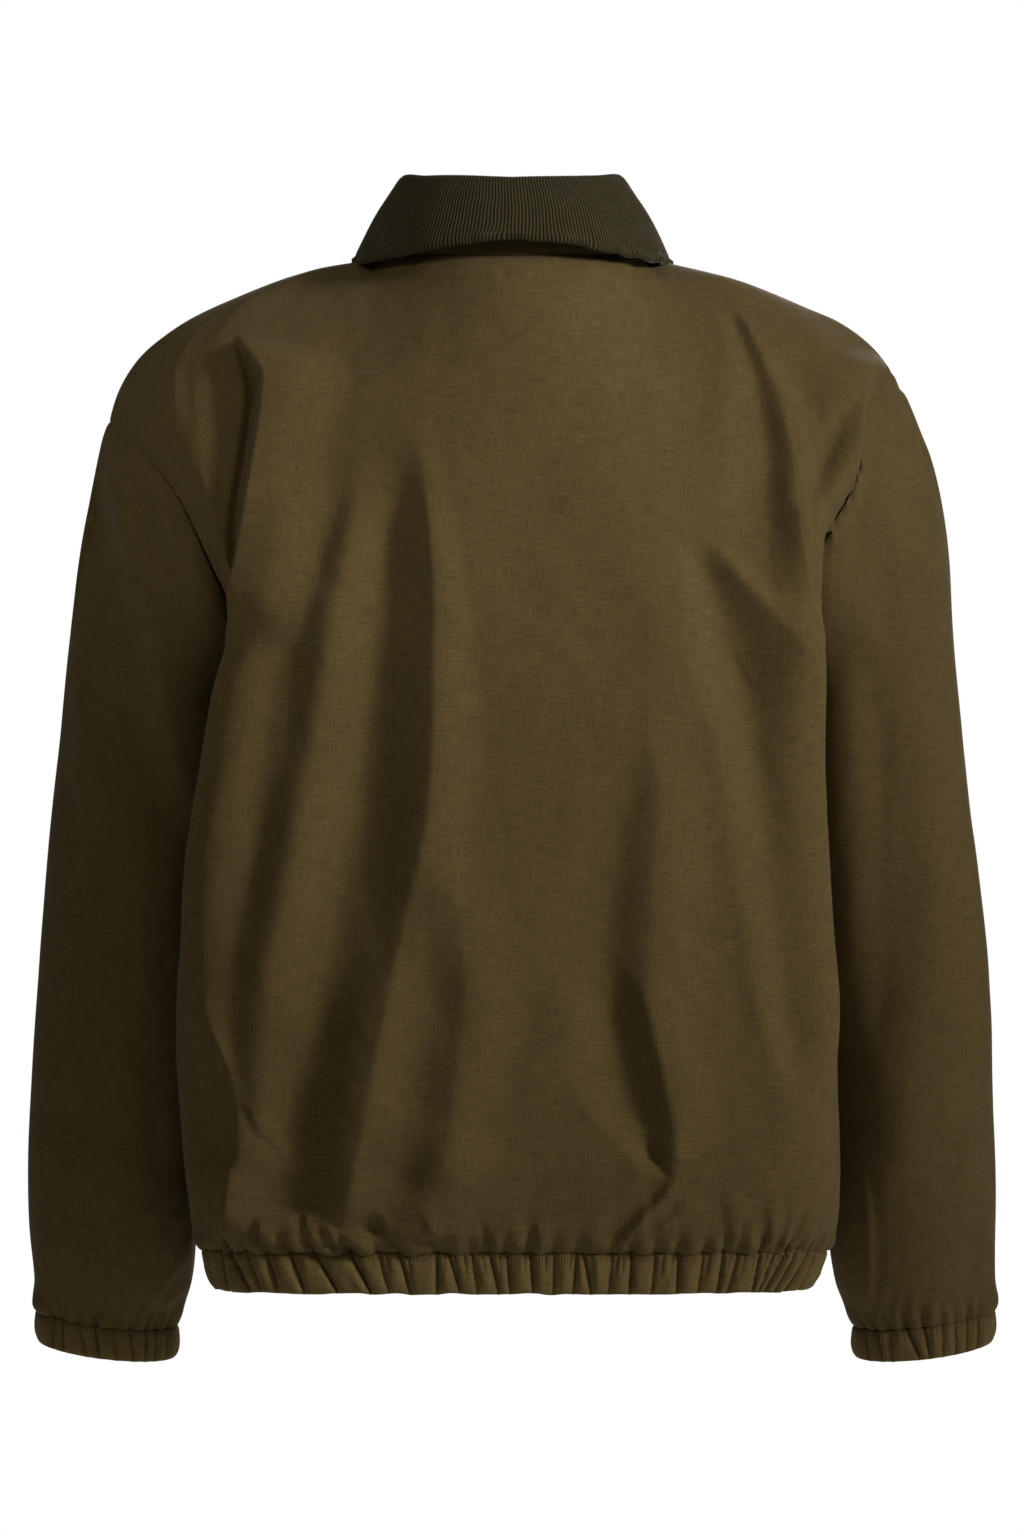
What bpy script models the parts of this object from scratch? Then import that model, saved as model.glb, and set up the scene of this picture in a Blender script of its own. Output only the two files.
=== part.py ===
"""A relaxed blouson jacket with dropped shoulders and a turned-down corduroy collar.

The jacket stands filled out as it is worn, with nothing inside. Metres, +Z up.
The front faces -Y, so the wearer's left is +X. The origin is the middle of the
neck opening, level with the neck ends of the shoulder seams.

Every cloth piece is a thin wall: a grid of points on its outer side, the same
grid moved inward by the cloth's thickness, and a rim that closes the two.
Pieces that are sewn together share the points of their seam, and each is drawn
back from it by half of the seam gap.
"""

import collections
import math

import bmesh
import bpy
import numpy as np

# Driving dimensions.
CLOTH = 0.0018
DOUBLED_CLOTH = 0.0024
TAPE = 0.0010
SEAM_GAP = 0.0004
ZIP_HALF_WIDTH = 0.0035
TAPE_HALF_GAP = 0.0004
TAPE_WIDTH = 0.0125
TAPE_FOOT_RISE = 0.0015
UNDERARM = -0.262
HEM_SEAM = -0.650
HEM_BOTTOM = -0.6750
CUFF_HEIGHT = 0.0205
NECK_SIDE_ANGLE = 85.0
NECK_SHARE = 0.38
WIDEST_SHARE = 0.80

# How full the body's sections are, from the middle round to the side seam.
BACK_FLAT = 0.60
BACK_ROUND = 0.70
SIDE_REACH = 0.022
SEAM_REACH = 0.045
FRONT_FLAT = 0.62
FRONT_REACH = 0.072
FRONT_SWELL = 0.002

# How a panel leaves its top edge and settles to the section at underarm height.
YOKE_BULGE = 0.050
YOKE_BULGE_AT_NECK = 0.024
YOKE_DROP = 0.004
NECK_DROP = {"back": 0.022, "front": 0.034}
SLOPE_STEP = 0.010
SLOPE_CARRY = {"back": 10.5, "front": 8.0}
ARMHOLE_HOLD = 0.55

# How finely the cloth is divided.
NECK_STEPS = 5
SHOULDER_STEPS = 8
ARMHOLE_STEPS = 9
TRUNK_STEPS = 11
CAP_STEPS = 5
ARM_STEPS = 10

SIDES = {"left": 1.0, "right": -1.0}

# The body by height: half-widths at the widest point, which lies toward the back.
BODY_COLUMNS = ("height", "back", "wide_left", "wide_right", "wide_y", "seam_x", "seam_y", "front")
BODY = np.array([
    [-0.262, 0.1230, 0.1880, 0.1940, 0.0620, 0.1690, -0.0100, 0.1260],
    [-0.300, 0.1235, 0.1935, 0.1970, 0.0580, 0.1735, -0.0120, 0.1275],
    [-0.340, 0.1225, 0.1995, 0.1990, 0.0560, 0.1815, -0.0140, 0.1280],
    [-0.390, 0.1210, 0.2070, 0.2020, 0.0550, 0.1870, -0.0160, 0.1270],
    [-0.450, 0.1210, 0.2140, 0.2060, 0.0550, 0.1925, -0.0180, 0.1265],
    [-0.510, 0.1235, 0.2180, 0.2100, 0.0550, 0.1970, -0.0190, 0.1280],
    [-0.560, 0.1260, 0.2160, 0.2120, 0.0550, 0.2000, -0.0200, 0.1295],
    [-0.605, 0.1265, 0.2130, 0.2125, 0.0540, 0.2010, -0.0200, 0.1295],
    [-0.635, 0.1215, 0.2075, 0.2105, 0.0520, 0.1985, -0.0190, 0.1245],
    [-0.650, 0.1130, 0.2020, 0.2055, 0.0500, 0.1950, -0.0180, 0.1160],
    [-0.675, 0.1100, 0.1945, 0.1955, 0.0480, 0.1875, -0.0170, 0.1130],
])

# The shoulder seams from the neck to the tip of the dropped shoulder.
SHOULDER_SEAM = {
    "left": [
        (0.0897, -0.002, -0.0015), (0.128, 0.000, -0.0092), (0.1764, 0.001, -0.0256),
        (0.2263, 0.000, -0.0506), (0.2454, -0.001, -0.0670), (0.2592, -0.003, -0.0887),
        (0.2658, -0.004, -0.1097),
    ],
    "right": [
        (0.0897, -0.002, -0.0015), (0.128, 0.000, -0.0110), (0.1521, 0.000, -0.0177),
        (0.1895, 0.000, -0.0322), (0.2185, 0.000, -0.0453), (0.2408, -0.001, -0.0637),
        (0.2500, -0.002, -0.0765),
    ],
}

# The armholes from the shoulder tip to the underarm, behind and in front.
ARMHOLE = {
    ("left", "back"): [
        (0.2658, -0.004, -0.1097), (0.2434, 0.040, -0.1288), (0.2184, 0.062, -0.1597),
        (0.1960, 0.064, -0.2043), (0.1780, 0.036, -0.2430), (0.1690, -0.010, -0.2620),
    ],
    ("right", "back"): [
        (0.2500, -0.002, -0.0765), (0.2335, 0.042, -0.1000), (0.2234, 0.063, -0.1510),
        (0.1970, 0.064, -0.1985), (0.1790, 0.036, -0.2430), (0.1690, -0.010, -0.2620),
    ],
    ("left", "front"): [
        (0.2658, -0.004, -0.1097), (0.2450, -0.046, -0.1280), (0.2130, -0.078, -0.1620),
        (0.1870, -0.088, -0.2060), (0.1730, -0.060, -0.2440), (0.1690, -0.010, -0.2620),
    ],
    ("right", "front"): [
        (0.2500, -0.002, -0.0765), (0.2360, -0.046, -0.1020), (0.2150, -0.078, -0.1500),
        (0.1880, -0.088, -0.2030), (0.1730, -0.060, -0.2440), (0.1690, -0.010, -0.2620),
    ],
}

# The sleeves by height below the armhole. The last row is the cuff seam.
SLEEVE_COLUMNS = ("height", "outer_left", "outer_right", "width", "middle_y", "depth")
SLEEVE = np.array([
    [-0.305, 0.2985, 0.2955, 0.1150, -0.0340, 0.1220],
    [-0.360, 0.3047, 0.3015, 0.1150, -0.0340, 0.1190],
    [-0.420, 0.3096, 0.3081, 0.1140, -0.0350, 0.1160],
    [-0.480, 0.3138, 0.3136, 0.1140, -0.0360, 0.1120],
    [-0.540, 0.3178, 0.3170, 0.1130, -0.0370, 0.1080],
    [-0.600, 0.3204, 0.3194, 0.1120, -0.0390, 0.1040],
    [-0.640, 0.3197, 0.3202, 0.1110, -0.0400, 0.0990],
    [-0.672, 0.3173, 0.3200, 0.1060, -0.0410, 0.0900],
    [-0.700, 0.3150, 0.3197, 0.0940, -0.0420, 0.0740],
    [-0.7205, 0.3145, 0.3190, 0.0925, -0.0430, 0.0720],
])
CAP_LEAN = {"left": 0.26, "right": 0.52}
CAP_FORWARD = 0.06
ARM_INWARD = 0.12
FOLDED_BACK = 0.2
CUFF_SEAM = -0.700
ARM_TOP = -0.305
TILT_START = -0.600
TILT_OUTWARD = 0.115
TILT_BACK = -0.150

# The collar by the angle round the neck, from the middle of the back (0) to the front (180).
NECK_COLUMNS = ("angle", "seam_height", "stand_height", "lean")
NECK = np.array([
    [0.0, -0.0045, 0.0505, 0.0100],
    [45.0, -0.0030, 0.0515, 0.0140],
    [85.0, -0.0015, 0.0508, 0.0178],
    [120.0, -0.0180, 0.0440, 0.0140],
    [150.0, -0.0480, 0.0320, 0.0070],
    [180.0, -0.0720, 0.0230, 0.0020],
])
NECK_HALF_WIDTH = 0.090
NECK_HALF_DEPTH = 0.079
NECK_MIDDLE_Y = -0.009
COLLAR_EDGE = [
    (0.000, 0.0880, 0.0052), (0.0344, 0.0850, 0.0025), (0.0571, 0.0760, -0.0010),
    (0.0776, 0.0580, -0.0040), (0.0970, 0.0280, -0.0040), (0.1050, -0.0050, -0.0030),
    (0.1060, -0.0380, -0.0080), (0.0980, -0.0720, -0.0270), (0.0800, -0.1000, -0.0600),
    (0.0560, -0.1130, -0.0960),
]
STAND_SHARES = (0.0, 0.45, 0.88)

# The top collar's rows: up inside the stand, over the crest and down to its outer shoulder.
# A row is a share of the stand's height, and a distance outward from the stand's outer side.
CREST = [
    (0.06, -0.0046), (0.55, -0.0046), (0.90, -0.0042), (1.00, -0.0022), (1.01, 0.0015), (0.93, 0.0042),
]
FALL_SHARES = (0.35, 0.68)
FALL_BOW = 0.0030
NECK_FRONT_ANGLE = 180.0 - math.degrees(math.asin(ZIP_HALF_WIDTH / NECK_HALF_WIDTH))

# The largest folds: a soft trough along a line, by sideways place and height.
# "facing" is +1 on the back of the jacket and -1 on its front.
Fold = collections.namedtuple("Fold", "facing depth width line")
BODY_FOLDS = [
    Fold(1, 0.0150, 0.0110, [
        (0.181, -0.060), (0.166, -0.080), (0.165, -0.112), (0.177, -0.167), (0.187, -0.254),
    ]),
    Fold(1, 0.0070, 0.0130, [(0.108, -0.178), (0.133, -0.278), (0.156, -0.393), (0.174, -0.493)]),
    Fold(1, 0.0100, 0.0200, [
        (0.053, -0.152), (0.064, -0.227), (0.072, -0.339), (0.104, -0.505), (0.136, -0.601),
    ]),
    Fold(1, 0.0060, 0.0180, [(-0.082, -0.319), (-0.077, -0.431), (-0.091, -0.569)]),
    Fold(1, 0.0070, 0.0110, [(-0.143, -0.203), (-0.165, -0.281), (-0.180, -0.385), (-0.193, -0.551)]),
    Fold(1, 0.0130, 0.0110, [(-0.144, -0.044), (-0.164, -0.093), (-0.168, -0.145), (-0.170, -0.222)]),
    Fold(-1, 0.0120, 0.0130, [(0.172, -0.070), (0.160, -0.110), (0.163, -0.170), (0.172, -0.240)]),
    Fold(-1, 0.0120, 0.0130, [(-0.168, -0.060), (-0.158, -0.100), (-0.162, -0.165), (-0.170, -0.235)]),
    Fold(-1, 0.0080, 0.0180, [(0.112, -0.200), (0.118, -0.330), (0.098, -0.470), (0.090, -0.590)]),
    Fold(-1, 0.0070, 0.0180, [(-0.095, -0.180), (-0.108, -0.300), (-0.120, -0.430), (-0.105, -0.580)]),
]
SLEEVE_FOLDS = {
    "left": [
        Fold(1, 0.0090, 0.0130, [(0.260, -0.150), (0.248, -0.250), (0.236, -0.340), (0.225, -0.450)]),
        Fold(-1, 0.0080, 0.0130, [(0.262, -0.170), (0.244, -0.290), (0.250, -0.400)]),
        Fold(-1, 0.0060, 0.0120, [(0.290, -0.430), (0.262, -0.490), (0.255, -0.570)]),
    ],
    "right": [
        Fold(1, 0.0060, 0.0150, [(-0.272, -0.500), (-0.259, -0.568), (-0.240, -0.663)]),
        Fold(-1, 0.0080, 0.0130, [(-0.258, -0.180), (-0.240, -0.300), (-0.252, -0.420)]),
        Fold(-1, 0.0060, 0.0120, [(-0.286, -0.440), (-0.260, -0.510), (-0.262, -0.590)]),
    ],
}

# The zip's hard pieces, each in its own frame: X across, -Y away from the cloth, Z up the zip.
SLIDER_ROW = 2
SLIDER_TOP_WIDTH = 0.0092
SLIDER_FOOT_WIDTH = 0.0070
SLIDER_LENGTH = 0.0120
PLATE = 0.0013
PLATE_CLEARANCE = 0.0004
BRIDGE_WIDTH = 0.0022
BRIDGE_LENGTH = 0.0082
BRIDGE_POST = 0.0012
BRIDGE_RISE = 0.0022
BRIDGE_TOP = 0.0009
HINGE_RISE = 0.0011
TAB_THICKNESS = 0.0010
TAB_TOP_WIDTH = 0.0058
TAB_FOOT_WIDTH = 0.0070
TAB_LENGTH = 0.0260
TAB_BAR = 0.0011
TAB_WINDOW_WIDTH = 0.0034
TAB_WINDOW_LENGTH = 0.0052
BOX_WIDTH = 0.0060
BOX_HEIGHT = 0.0100
BOX_DEPTH = 0.0026
BOX_CLEARANCE = 0.0004
METAL_EDGE = 0.0002
HAIR = 0.00005


def column(table, names, name, at):
    """One named column of a table, read smoothly at the given knots."""
    knots = table[:, 0]
    return smooth(at, knots, table[:, names.index(name)])


def smooth(at, knots, values):
    """A curve with no corners through rows of values, read at one or many knots."""
    knots = np.asarray(knots, float)
    values = np.asarray(values, float)
    at = np.asarray(at, float)
    if knots[0] > knots[-1]:
        knots = knots[::-1]
        values = values[::-1]
    slopes = np.gradient(values, knots, axis=0)
    row = np.clip(np.searchsorted(knots, at, side="right") - 1, 0, len(knots) - 2)
    step = knots[row + 1] - knots[row]
    share = np.clip((at - knots[row]) / step, 0.0, 1.0)
    if values.ndim > 1:
        step = step[..., None]
        share = share[..., None]
    start = (1 + 2 * share) * (1 - share) ** 2 * values[row]
    end = share**2 * (3 - 2 * share) * values[row + 1]
    leaving = share * (1 - share) ** 2 * step * slopes[row]
    arriving = share**2 * (share - 1) * step * slopes[row + 1]
    return start + end + leaving + arriving


def along(points, share):
    """Points of a smooth line through the given ones, by share of its length."""
    points = np.asarray(points, float)
    steps = np.linalg.norm(np.diff(points, axis=0), axis=1)
    reach = np.concatenate([[0.0], np.cumsum(steps)])
    return smooth(share, reach / reach[-1], points)


def ease(value, low, high):
    """0 below low, 1 above high, and a soft step between."""
    share = np.clip((value - low) / (high - low), 0.0, 1.0)
    return share * share * (3 - 2 * share)


def bezier(start, leaving, arriving, end, share):
    """Points of a curve between two ends, shaped by the points it leaves and arrives by."""
    share = np.asarray(share, float)[..., None]
    rest = 1 - share
    early = rest**3 * start + 3 * rest**2 * share * leaving
    late = 3 * rest * share**2 * arriving + share**3 * end
    return early + late


def unit(vectors):
    """The vectors at a length of one."""
    return vectors / np.maximum(np.linalg.norm(vectors, axis=-1, keepdims=True), 1e-12)


def neck_point(angle, sign):
    """A point of the neck seam, by the angle in degrees from the middle of the back."""
    turn = np.radians(angle)
    height = column(NECK, NECK_COLUMNS, "seam_height", angle)
    across = sign * NECK_HALF_WIDTH * np.sin(turn)
    deep = NECK_MIDDLE_Y + NECK_HALF_DEPTH * np.cos(turn)
    return np.stack([across, deep, height], axis=-1)


def body_value(name, height):
    """One size of the body at a height."""
    return column(BODY, BODY_COLUMNS, name, height)


def back_section(side, share, height):
    """A point of the back at one height, from its middle (0) round to the side seam (1)."""
    wide = body_value("wide_" + side, height)
    wide_y = body_value("wide_y", height)
    seam_x = body_value("seam_x", height)
    seam_y = body_value("seam_y", height)
    back = body_value("back", height)
    middle = np.array([0.0, back])
    widest = np.array([wide, wide_y])
    seam = np.array([seam_x, seam_y])
    inner = bezier(
        middle, np.array([BACK_FLAT * wide, back]),
        np.array([wide, wide_y + BACK_ROUND * (back - wide_y)]),
        widest, np.clip(share / WIDEST_SHARE, 0, 1),
    )
    outer = bezier(
        widest, np.array([wide, wide_y - SIDE_REACH]), np.array([seam_x, seam_y + SEAM_REACH]),
        seam, np.clip((share - WIDEST_SHARE) / (1 - WIDEST_SHARE), 0, 1),
    )
    flat = np.where(np.asarray(share)[..., None] < WIDEST_SHARE, inner, outer)
    return rise(flat, side, height)


def front_section(side, share, height):
    """A point of the front at one height, from the zip (0) round to the side seam (1)."""
    seam_x = body_value("seam_x", height)
    seam_y = body_value("seam_y", height)
    front = -body_value("front", height)
    flat = bezier(
        np.array([ZIP_HALF_WIDTH, front]), np.array([FRONT_FLAT * seam_x, front]),
        np.array([seam_x + FRONT_SWELL, seam_y - FRONT_REACH]), np.array([seam_x, seam_y]), share,
    )
    return rise(flat, side, height)


def rise(flat, side, height):
    """Points across and deep, mirrored to their side and lifted to a height."""
    heights = np.full(flat.shape[:-1], height)
    return np.stack([SIDES[side] * flat[..., 0], flat[..., 1], heights], axis=-1)


def armhole_point(side, face, share):
    """A point of the armhole seam from the shoulder tip (0) to the underarm (1)."""
    return along(ARMHOLE[side, face], share) * np.array([SIDES[side], 1, 1])


def top_edge(side, face, share):
    """A point of a panel's top edge: the neck seam as far as NECK_SHARE, then the shoulder seam."""
    neck_share = np.clip(share / NECK_SHARE, 0, 1)
    if face == "back":
        angle = NECK_SIDE_ANGLE * neck_share
    else:
        angle = NECK_FRONT_ANGLE + (NECK_SIDE_ANGLE - NECK_FRONT_ANGLE) * neck_share
    neck = neck_point(angle, SIDES[side])
    shoulder_share = np.clip((share - NECK_SHARE) / (1 - NECK_SHARE), 0, 1)
    shoulder = along(SHOULDER_SEAM[side], shoulder_share) * np.array([SIDES[side], 1, 1])
    return np.where(share[:, None] <= NECK_SHARE, neck, shoulder)


def yoke_rows(side, face, share, downs):
    """Rows from a panel's top edge down to underarm height, its side edge along the armhole."""
    section = back_section if face == "back" else front_section
    outward = 1.0 if face == "back" else -1.0
    top = top_edge(side, face, share)
    foot = section(side, share, UNDERARM)
    lower = section(side, share, UNDERARM - SLOPE_STEP)
    near_neck = 1 - ease(share, 0.7 * NECK_SHARE, 1.35 * NECK_SHARE)
    deep = outward * (YOKE_BULGE + (YOKE_BULGE_AT_NECK - YOKE_BULGE) * near_neck)
    drop = -YOKE_DROP - NECK_DROP[face] * near_neck
    leaving = top + np.stack([0 * deep, deep, drop], axis=-1)
    arriving = foot + (foot - lower) * SLOPE_CARRY[face]
    hold = ease(share, ARMHOLE_HOLD, 1.0)[:, None]
    rows = []
    for down in downs:
        row = bezier(top, leaving, arriving, foot, np.full(len(share), down))
        miss = armhole_point(side, face, down) - row[-1]
        rows.append(row + hold * miss)
    return rows


def trunk_rows(side, face, share, heights):
    """Rows of a panel below the underarm."""
    section = back_section if face == "back" else front_section
    return [section(side, share, height) for height in heights]


def panel_grid(side, face):
    """The outer points of half a back, or of one front, from the middle out to the side."""
    neck = np.linspace(0, NECK_SHARE, NECK_STEPS + 1)
    shoulder = np.linspace(NECK_SHARE, 1, SHOULDER_STEPS + 1)
    share = np.concatenate([neck, shoulder[1:]])
    downs = np.linspace(0, 1, ARMHOLE_STEPS + 1)
    heights = np.linspace(UNDERARM, HEM_SEAM, TRUNK_STEPS + 1)[1:]
    rows = yoke_rows(side, face, share, downs) + trunk_rows(side, face, share, heights)
    return np.array(rows)


def fold_depth(points, normals, folds):
    """How far the folds sink the cloth at each point."""
    depth = np.zeros(points.shape[:-1])
    place = points[..., [0, 2]]
    for fold in folds:
        line = np.asarray(fold.line, float)
        nearest = np.full(place.shape[:-1], np.inf)
        for start, end in zip(line[:-1], line[1:]):
            run = end - start
            share = np.clip(((place - start) @ run) / (run @ run), 0, 1)
            gap = np.linalg.norm(place - start - share[..., None] * run, axis=-1)
            nearest = np.minimum(nearest, gap)
        seen = np.clip(2.5 * fold.facing * normals[..., 1], 0, 1)
        depth += fold.depth * np.exp(-((nearest / fold.width) ** 2)) * seen
    return depth


def outward(grid, around=False):
    """The direction square to the cloth at each point of a grid, away from the hollow it encloses."""
    if around:
        across = np.roll(grid, -1, axis=1) - np.roll(grid, 1, axis=1)
        middle = grid.mean(axis=1, keepdims=True)
    else:
        across = np.gradient(grid, axis=1)
        middle = np.array([0.0, 0.0, 1.0]) * grid
    directions = unit(np.cross(across, np.gradient(grid, axis=0)))
    if ((grid - middle) * directions).sum() < 0:
        directions = -directions
    return directions


def sink(grid, normals, folds, held_edges):
    """The grid with its folds, which fade to nothing at seams that other pieces share."""
    return grid - normals * (fold_depth(grid, normals, folds) * held_edges)[..., None]


def share_normals(first, first_at, second, second_at):
    """Gives two pieces one direction at each point of the seam between them."""
    common = unit(first[first_at] + second[second_at])
    first[first_at] = common
    second[second_at] = common


def draw_back(grid, edges, amount):
    """Moves the named edges of a grid inward along the cloth, which opens the seam gap."""
    moved = grid.copy()
    pulls = {
        "top": (np.s_[0], grid[1] - grid[0]),
        "bottom": (np.s_[-1], grid[-2] - grid[-1]),
        "first": (np.s_[:, 0], grid[:, 1] - grid[:, 0]),
        "last": (np.s_[:, -1], grid[:, -2] - grid[:, -1]),
    }
    for edge in edges:
        at, pull = pulls[edge]
        moved[at] += amount * unit(pull)
    return moved


def wall(name, outer, inner, material, around=False):
    """A closed wall between two grids of points, rows down and columns across."""
    rows, columns = outer.shape[:2]
    points = np.concatenate([outer.reshape(-1, 3), inner.reshape(-1, 3)])
    shift = rows * columns
    faces = []
    last = columns if around else columns - 1
    for row in range(rows - 1):
        for here in range(last):
            right = (here + 1) % columns
            corners = [row * columns + here, (row + 1) * columns + here]
            corners += [(row + 1) * columns + right, row * columns + right]
            faces.append(corners)
            faces.append([shift + corner for corner in reversed(corners)])
    rim = [(0, here, 0, (here + 1) % columns) for here in range(last)]
    rim += [(rows - 1, (here + 1) % columns, rows - 1, here) for here in range(last)]
    if not around:
        rim += [(row + 1, 0, row, 0) for row in range(rows - 1)]
        rim += [(row, columns - 1, row + 1, columns - 1) for row in range(rows - 1)]
    for row_a, column_a, row_b, column_b in rim:
        start = row_a * columns + column_a
        end = row_b * columns + column_b
        faces.append([start, end, shift + end, shift + start])
    mesh = bpy.data.meshes.new(name)
    mesh.from_pydata(points.tolist(), [], faces)
    shape = bmesh.new()
    shape.from_mesh(mesh)
    bmesh.ops.recalc_face_normals(shape, faces=shape.faces)
    if shape.calc_volume(signed=True) < 0:
        bmesh.ops.reverse_faces(shape, faces=shape.faces)
    shape.to_mesh(mesh)
    shape.free()
    mesh.shade_smooth()
    mesh.set_sharp_from_angle(angle=math.radians(50))
    return place(name, mesh, material)


def place(name, mesh, material):
    """An object of a mesh, with its material, in the scene."""
    obj = bpy.data.objects.new(name, mesh)
    obj.data.materials.append(material)
    bpy.context.scene.collection.objects.link(obj)
    return obj


def finish(name, colour, roughness, metallic=0.0):
    """A plain finish with one colour."""
    material = bpy.data.materials.new(name)
    material.use_nodes = True
    shader = material.node_tree.nodes["Principled BSDF"]
    shader.inputs["Base Color"].default_value = (*colour, 1.0)
    shader.inputs["Roughness"].default_value = roughness
    shader.inputs["Metallic"].default_value = metallic
    return material


def body_panels():
    """The back and the two fronts. It returns their grids and directions for the pieces sewn to them."""
    grids = {}
    normals = {}
    for side in SIDES:
        for face in ("back", "front"):
            grids[side, face] = panel_grid(side, face)
            normals[side, face] = outward(grids[side, face])
    for side in SIDES:
        back = normals[side, "back"]
        front = normals[side, "front"]
        shoulder = np.s_[0, NECK_STEPS:]
        share_normals(back, shoulder, front, shoulder)
        seam = np.s_[ARMHOLE_STEPS:, -1]
        share_normals(back, seam, front, seam)
    share_normals(normals["left", "back"], np.s_[:, 0], normals["right", "back"], np.s_[:, 0])
    for key, grid in grids.items():
        held = held_edges(grid, ("top", "bottom", "last") + (("first",) if key[1] == "front" else ()))
        grids[key] = sink(grid, normals[key], BODY_FOLDS, held)
    return grids, normals


def held_edges(grid, edges):
    """How free each point of a grid is to fold: 0 on the named edges, 1 two steps in."""
    rows, columns = grid.shape[:2]
    row = np.arange(rows)[:, None]
    col = np.arange(columns)[None, :]
    reach = np.full((rows, columns), 2.0)
    if "top" in edges:
        reach = np.minimum(reach, row)
    if "bottom" in edges:
        reach = np.minimum(reach, rows - 1 - row)
    if "first" in edges:
        reach = np.minimum(reach, col)
    if "last" in edges:
        reach = np.minimum(reach, columns - 1 - col)
    return reach / 2.0


def join_halves(left, right):
    """One grid across the back, from the wearer's right to the left."""
    return np.concatenate([right[:, ::-1], left[:, 1:]], axis=1)


def sew_body(grids, normals, cloth):
    """Makes the back and the two fronts, each drawn back from the seams it shares."""
    back = join_halves(grids["left", "back"], grids["right", "back"])
    back_normals = join_halves(normals["left", "back"], normals["right", "back"])
    outer = draw_back(back, ("top", "bottom", "first", "last"), SEAM_GAP / 2)
    wall("back", outer, outer - CLOTH * back_normals, cloth)
    for side in SIDES:
        outer = draw_back(grids[side, "front"], ("top", "bottom", "last"), SEAM_GAP / 2)
        wall("front_" + side, outer, outer - CLOTH * normals[side, "front"], cloth)


def sleeve_ring(side, height):
    """A ring of the sleeve, round from its outer side by the back, the inner side and the front."""
    count = 2 * ARMHOLE_STEPS
    turn = 2 * math.pi * np.arange(count) / count
    outer = column(SLEEVE, SLEEVE_COLUMNS, "outer_" + side, height)
    width = column(SLEEVE, SLEEVE_COLUMNS, "width", height)
    depth = column(SLEEVE, SLEEVE_COLUMNS, "depth", height)
    middle_x = outer - width / 2
    across = width / 2 * np.cos(turn)
    deep = depth / 2 * np.sin(turn)
    tilt = ease(-height, -TILT_START, -CUFF_SEAM)
    heights = height + tilt * (TILT_OUTWARD * across + TILT_BACK * deep)
    middle_y = column(SLEEVE, SLEEVE_COLUMNS, "middle_y", height)
    return np.stack([SIDES[side] * (middle_x + across), middle_y + deep, heights], axis=-1)


def armhole_ring(side):
    """The armhole seam as a ring: down behind, up in front."""
    downs = np.linspace(0, 1, ARMHOLE_STEPS + 1)
    behind = [armhole_point(side, "back", down) for down in downs]
    ahead = [armhole_point(side, "front", down) for down in downs]
    return np.array(behind + ahead[-2:0:-1])


def sleeve_grid(side):
    """Rows from the armhole down to the cuff seam."""
    start = armhole_ring(side)
    end = sleeve_ring(side, ARM_TOP)
    length = np.linalg.norm(end - start, axis=1)[:, None]
    spread = np.array([CAP_LEAN[side] * SIDES[side], -CAP_FORWARD, -1.0])
    leaving = start + length / 3 * unit(spread)
    arriving = end + length / 3 * np.array([-ARM_INWARD * SIDES[side], 0.0, 1.0])
    rows = []
    for share in np.linspace(0, 1, CAP_STEPS + 1):
        rows.append(bezier(start, leaving, arriving, end, np.full(len(start), share)))
    for height in np.linspace(ARM_TOP, CUFF_SEAM, ARM_STEPS + 1)[1:]:
        rows.append(sleeve_ring(side, height))
    return np.array(rows)


def meet(first, second):
    """One direction for both sides of a seam, save where the cloths fold back on each other."""
    common = unit(first + second)
    folded = ((first * second).sum(axis=-1) < FOLDED_BACK)[..., None]
    return np.where(folded, first, common), np.where(folded, second, common), folded


def sew_sleeve(side, normals):
    """The sleeve's grid and directions, its first row matched to the armhole of the body."""
    grid = sleeve_grid(side)
    directions = outward(grid, around=True)
    count = ARMHOLE_STEPS
    back = normals[side, "back"]
    front = normals[side, "front"]
    behind = np.arange(count + 1)
    ahead = np.concatenate([[0], np.arange(2 * count - 1, count, -1), [count]])
    for rows, body in ((ahead, front), (behind, back)):
        sleeve_way, body_way, folded = meet(directions[0, rows], body[: count + 1, -1])
        directions[0, rows] = sleeve_way
        body[: count + 1, -1] = body_way
        grid[0, rows] -= np.where(folded, SEAM_GAP, 0.0) * sleeve_way
    front[0, -1] = back[0, -1]
    held = held_edges(grid, ("top", "bottom"))
    return sink(grid, directions, SLEEVE_FOLDS[side], held), directions


def build_sleeve(side, grid, directions, cloth):
    """A one-piece sleeve, drawn back from the armhole and from the cuff."""
    outer = draw_back(draw_back(grid, ("top", "bottom"), SEAM_GAP / 2), ("top",), SEAM_GAP / 2)
    wall("sleeve_" + side, outer, outer - CLOTH * directions, cloth, around=True)


def build_cuff(side, cloth):
    """A doubled band round the wrist, hanging square to the forearm."""
    top = sleeve_ring(side, CUFF_SEAM)
    foot = sleeve_ring(side, CUFF_SEAM - CUFF_HEIGHT)
    grid = np.array([top + (foot - top) * share for share in (0.0, 0.5, 1.0)])
    directions = outward(grid, around=True)
    outer = draw_back(grid, ("top",), SEAM_GAP / 2)
    wall("cuff_" + side, outer, outer - DOUBLED_CLOTH * directions, cloth, around=True)


def round_body(rows):
    """One row right round the body, from the left front edge by the back, out of its four parts."""
    parts = [rows["left", "front"], rows["left", "back"][-2::-1]]
    parts += [rows["right", "back"][1:], rows["right", "front"][-2::-1]]
    return np.concatenate(parts)


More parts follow.
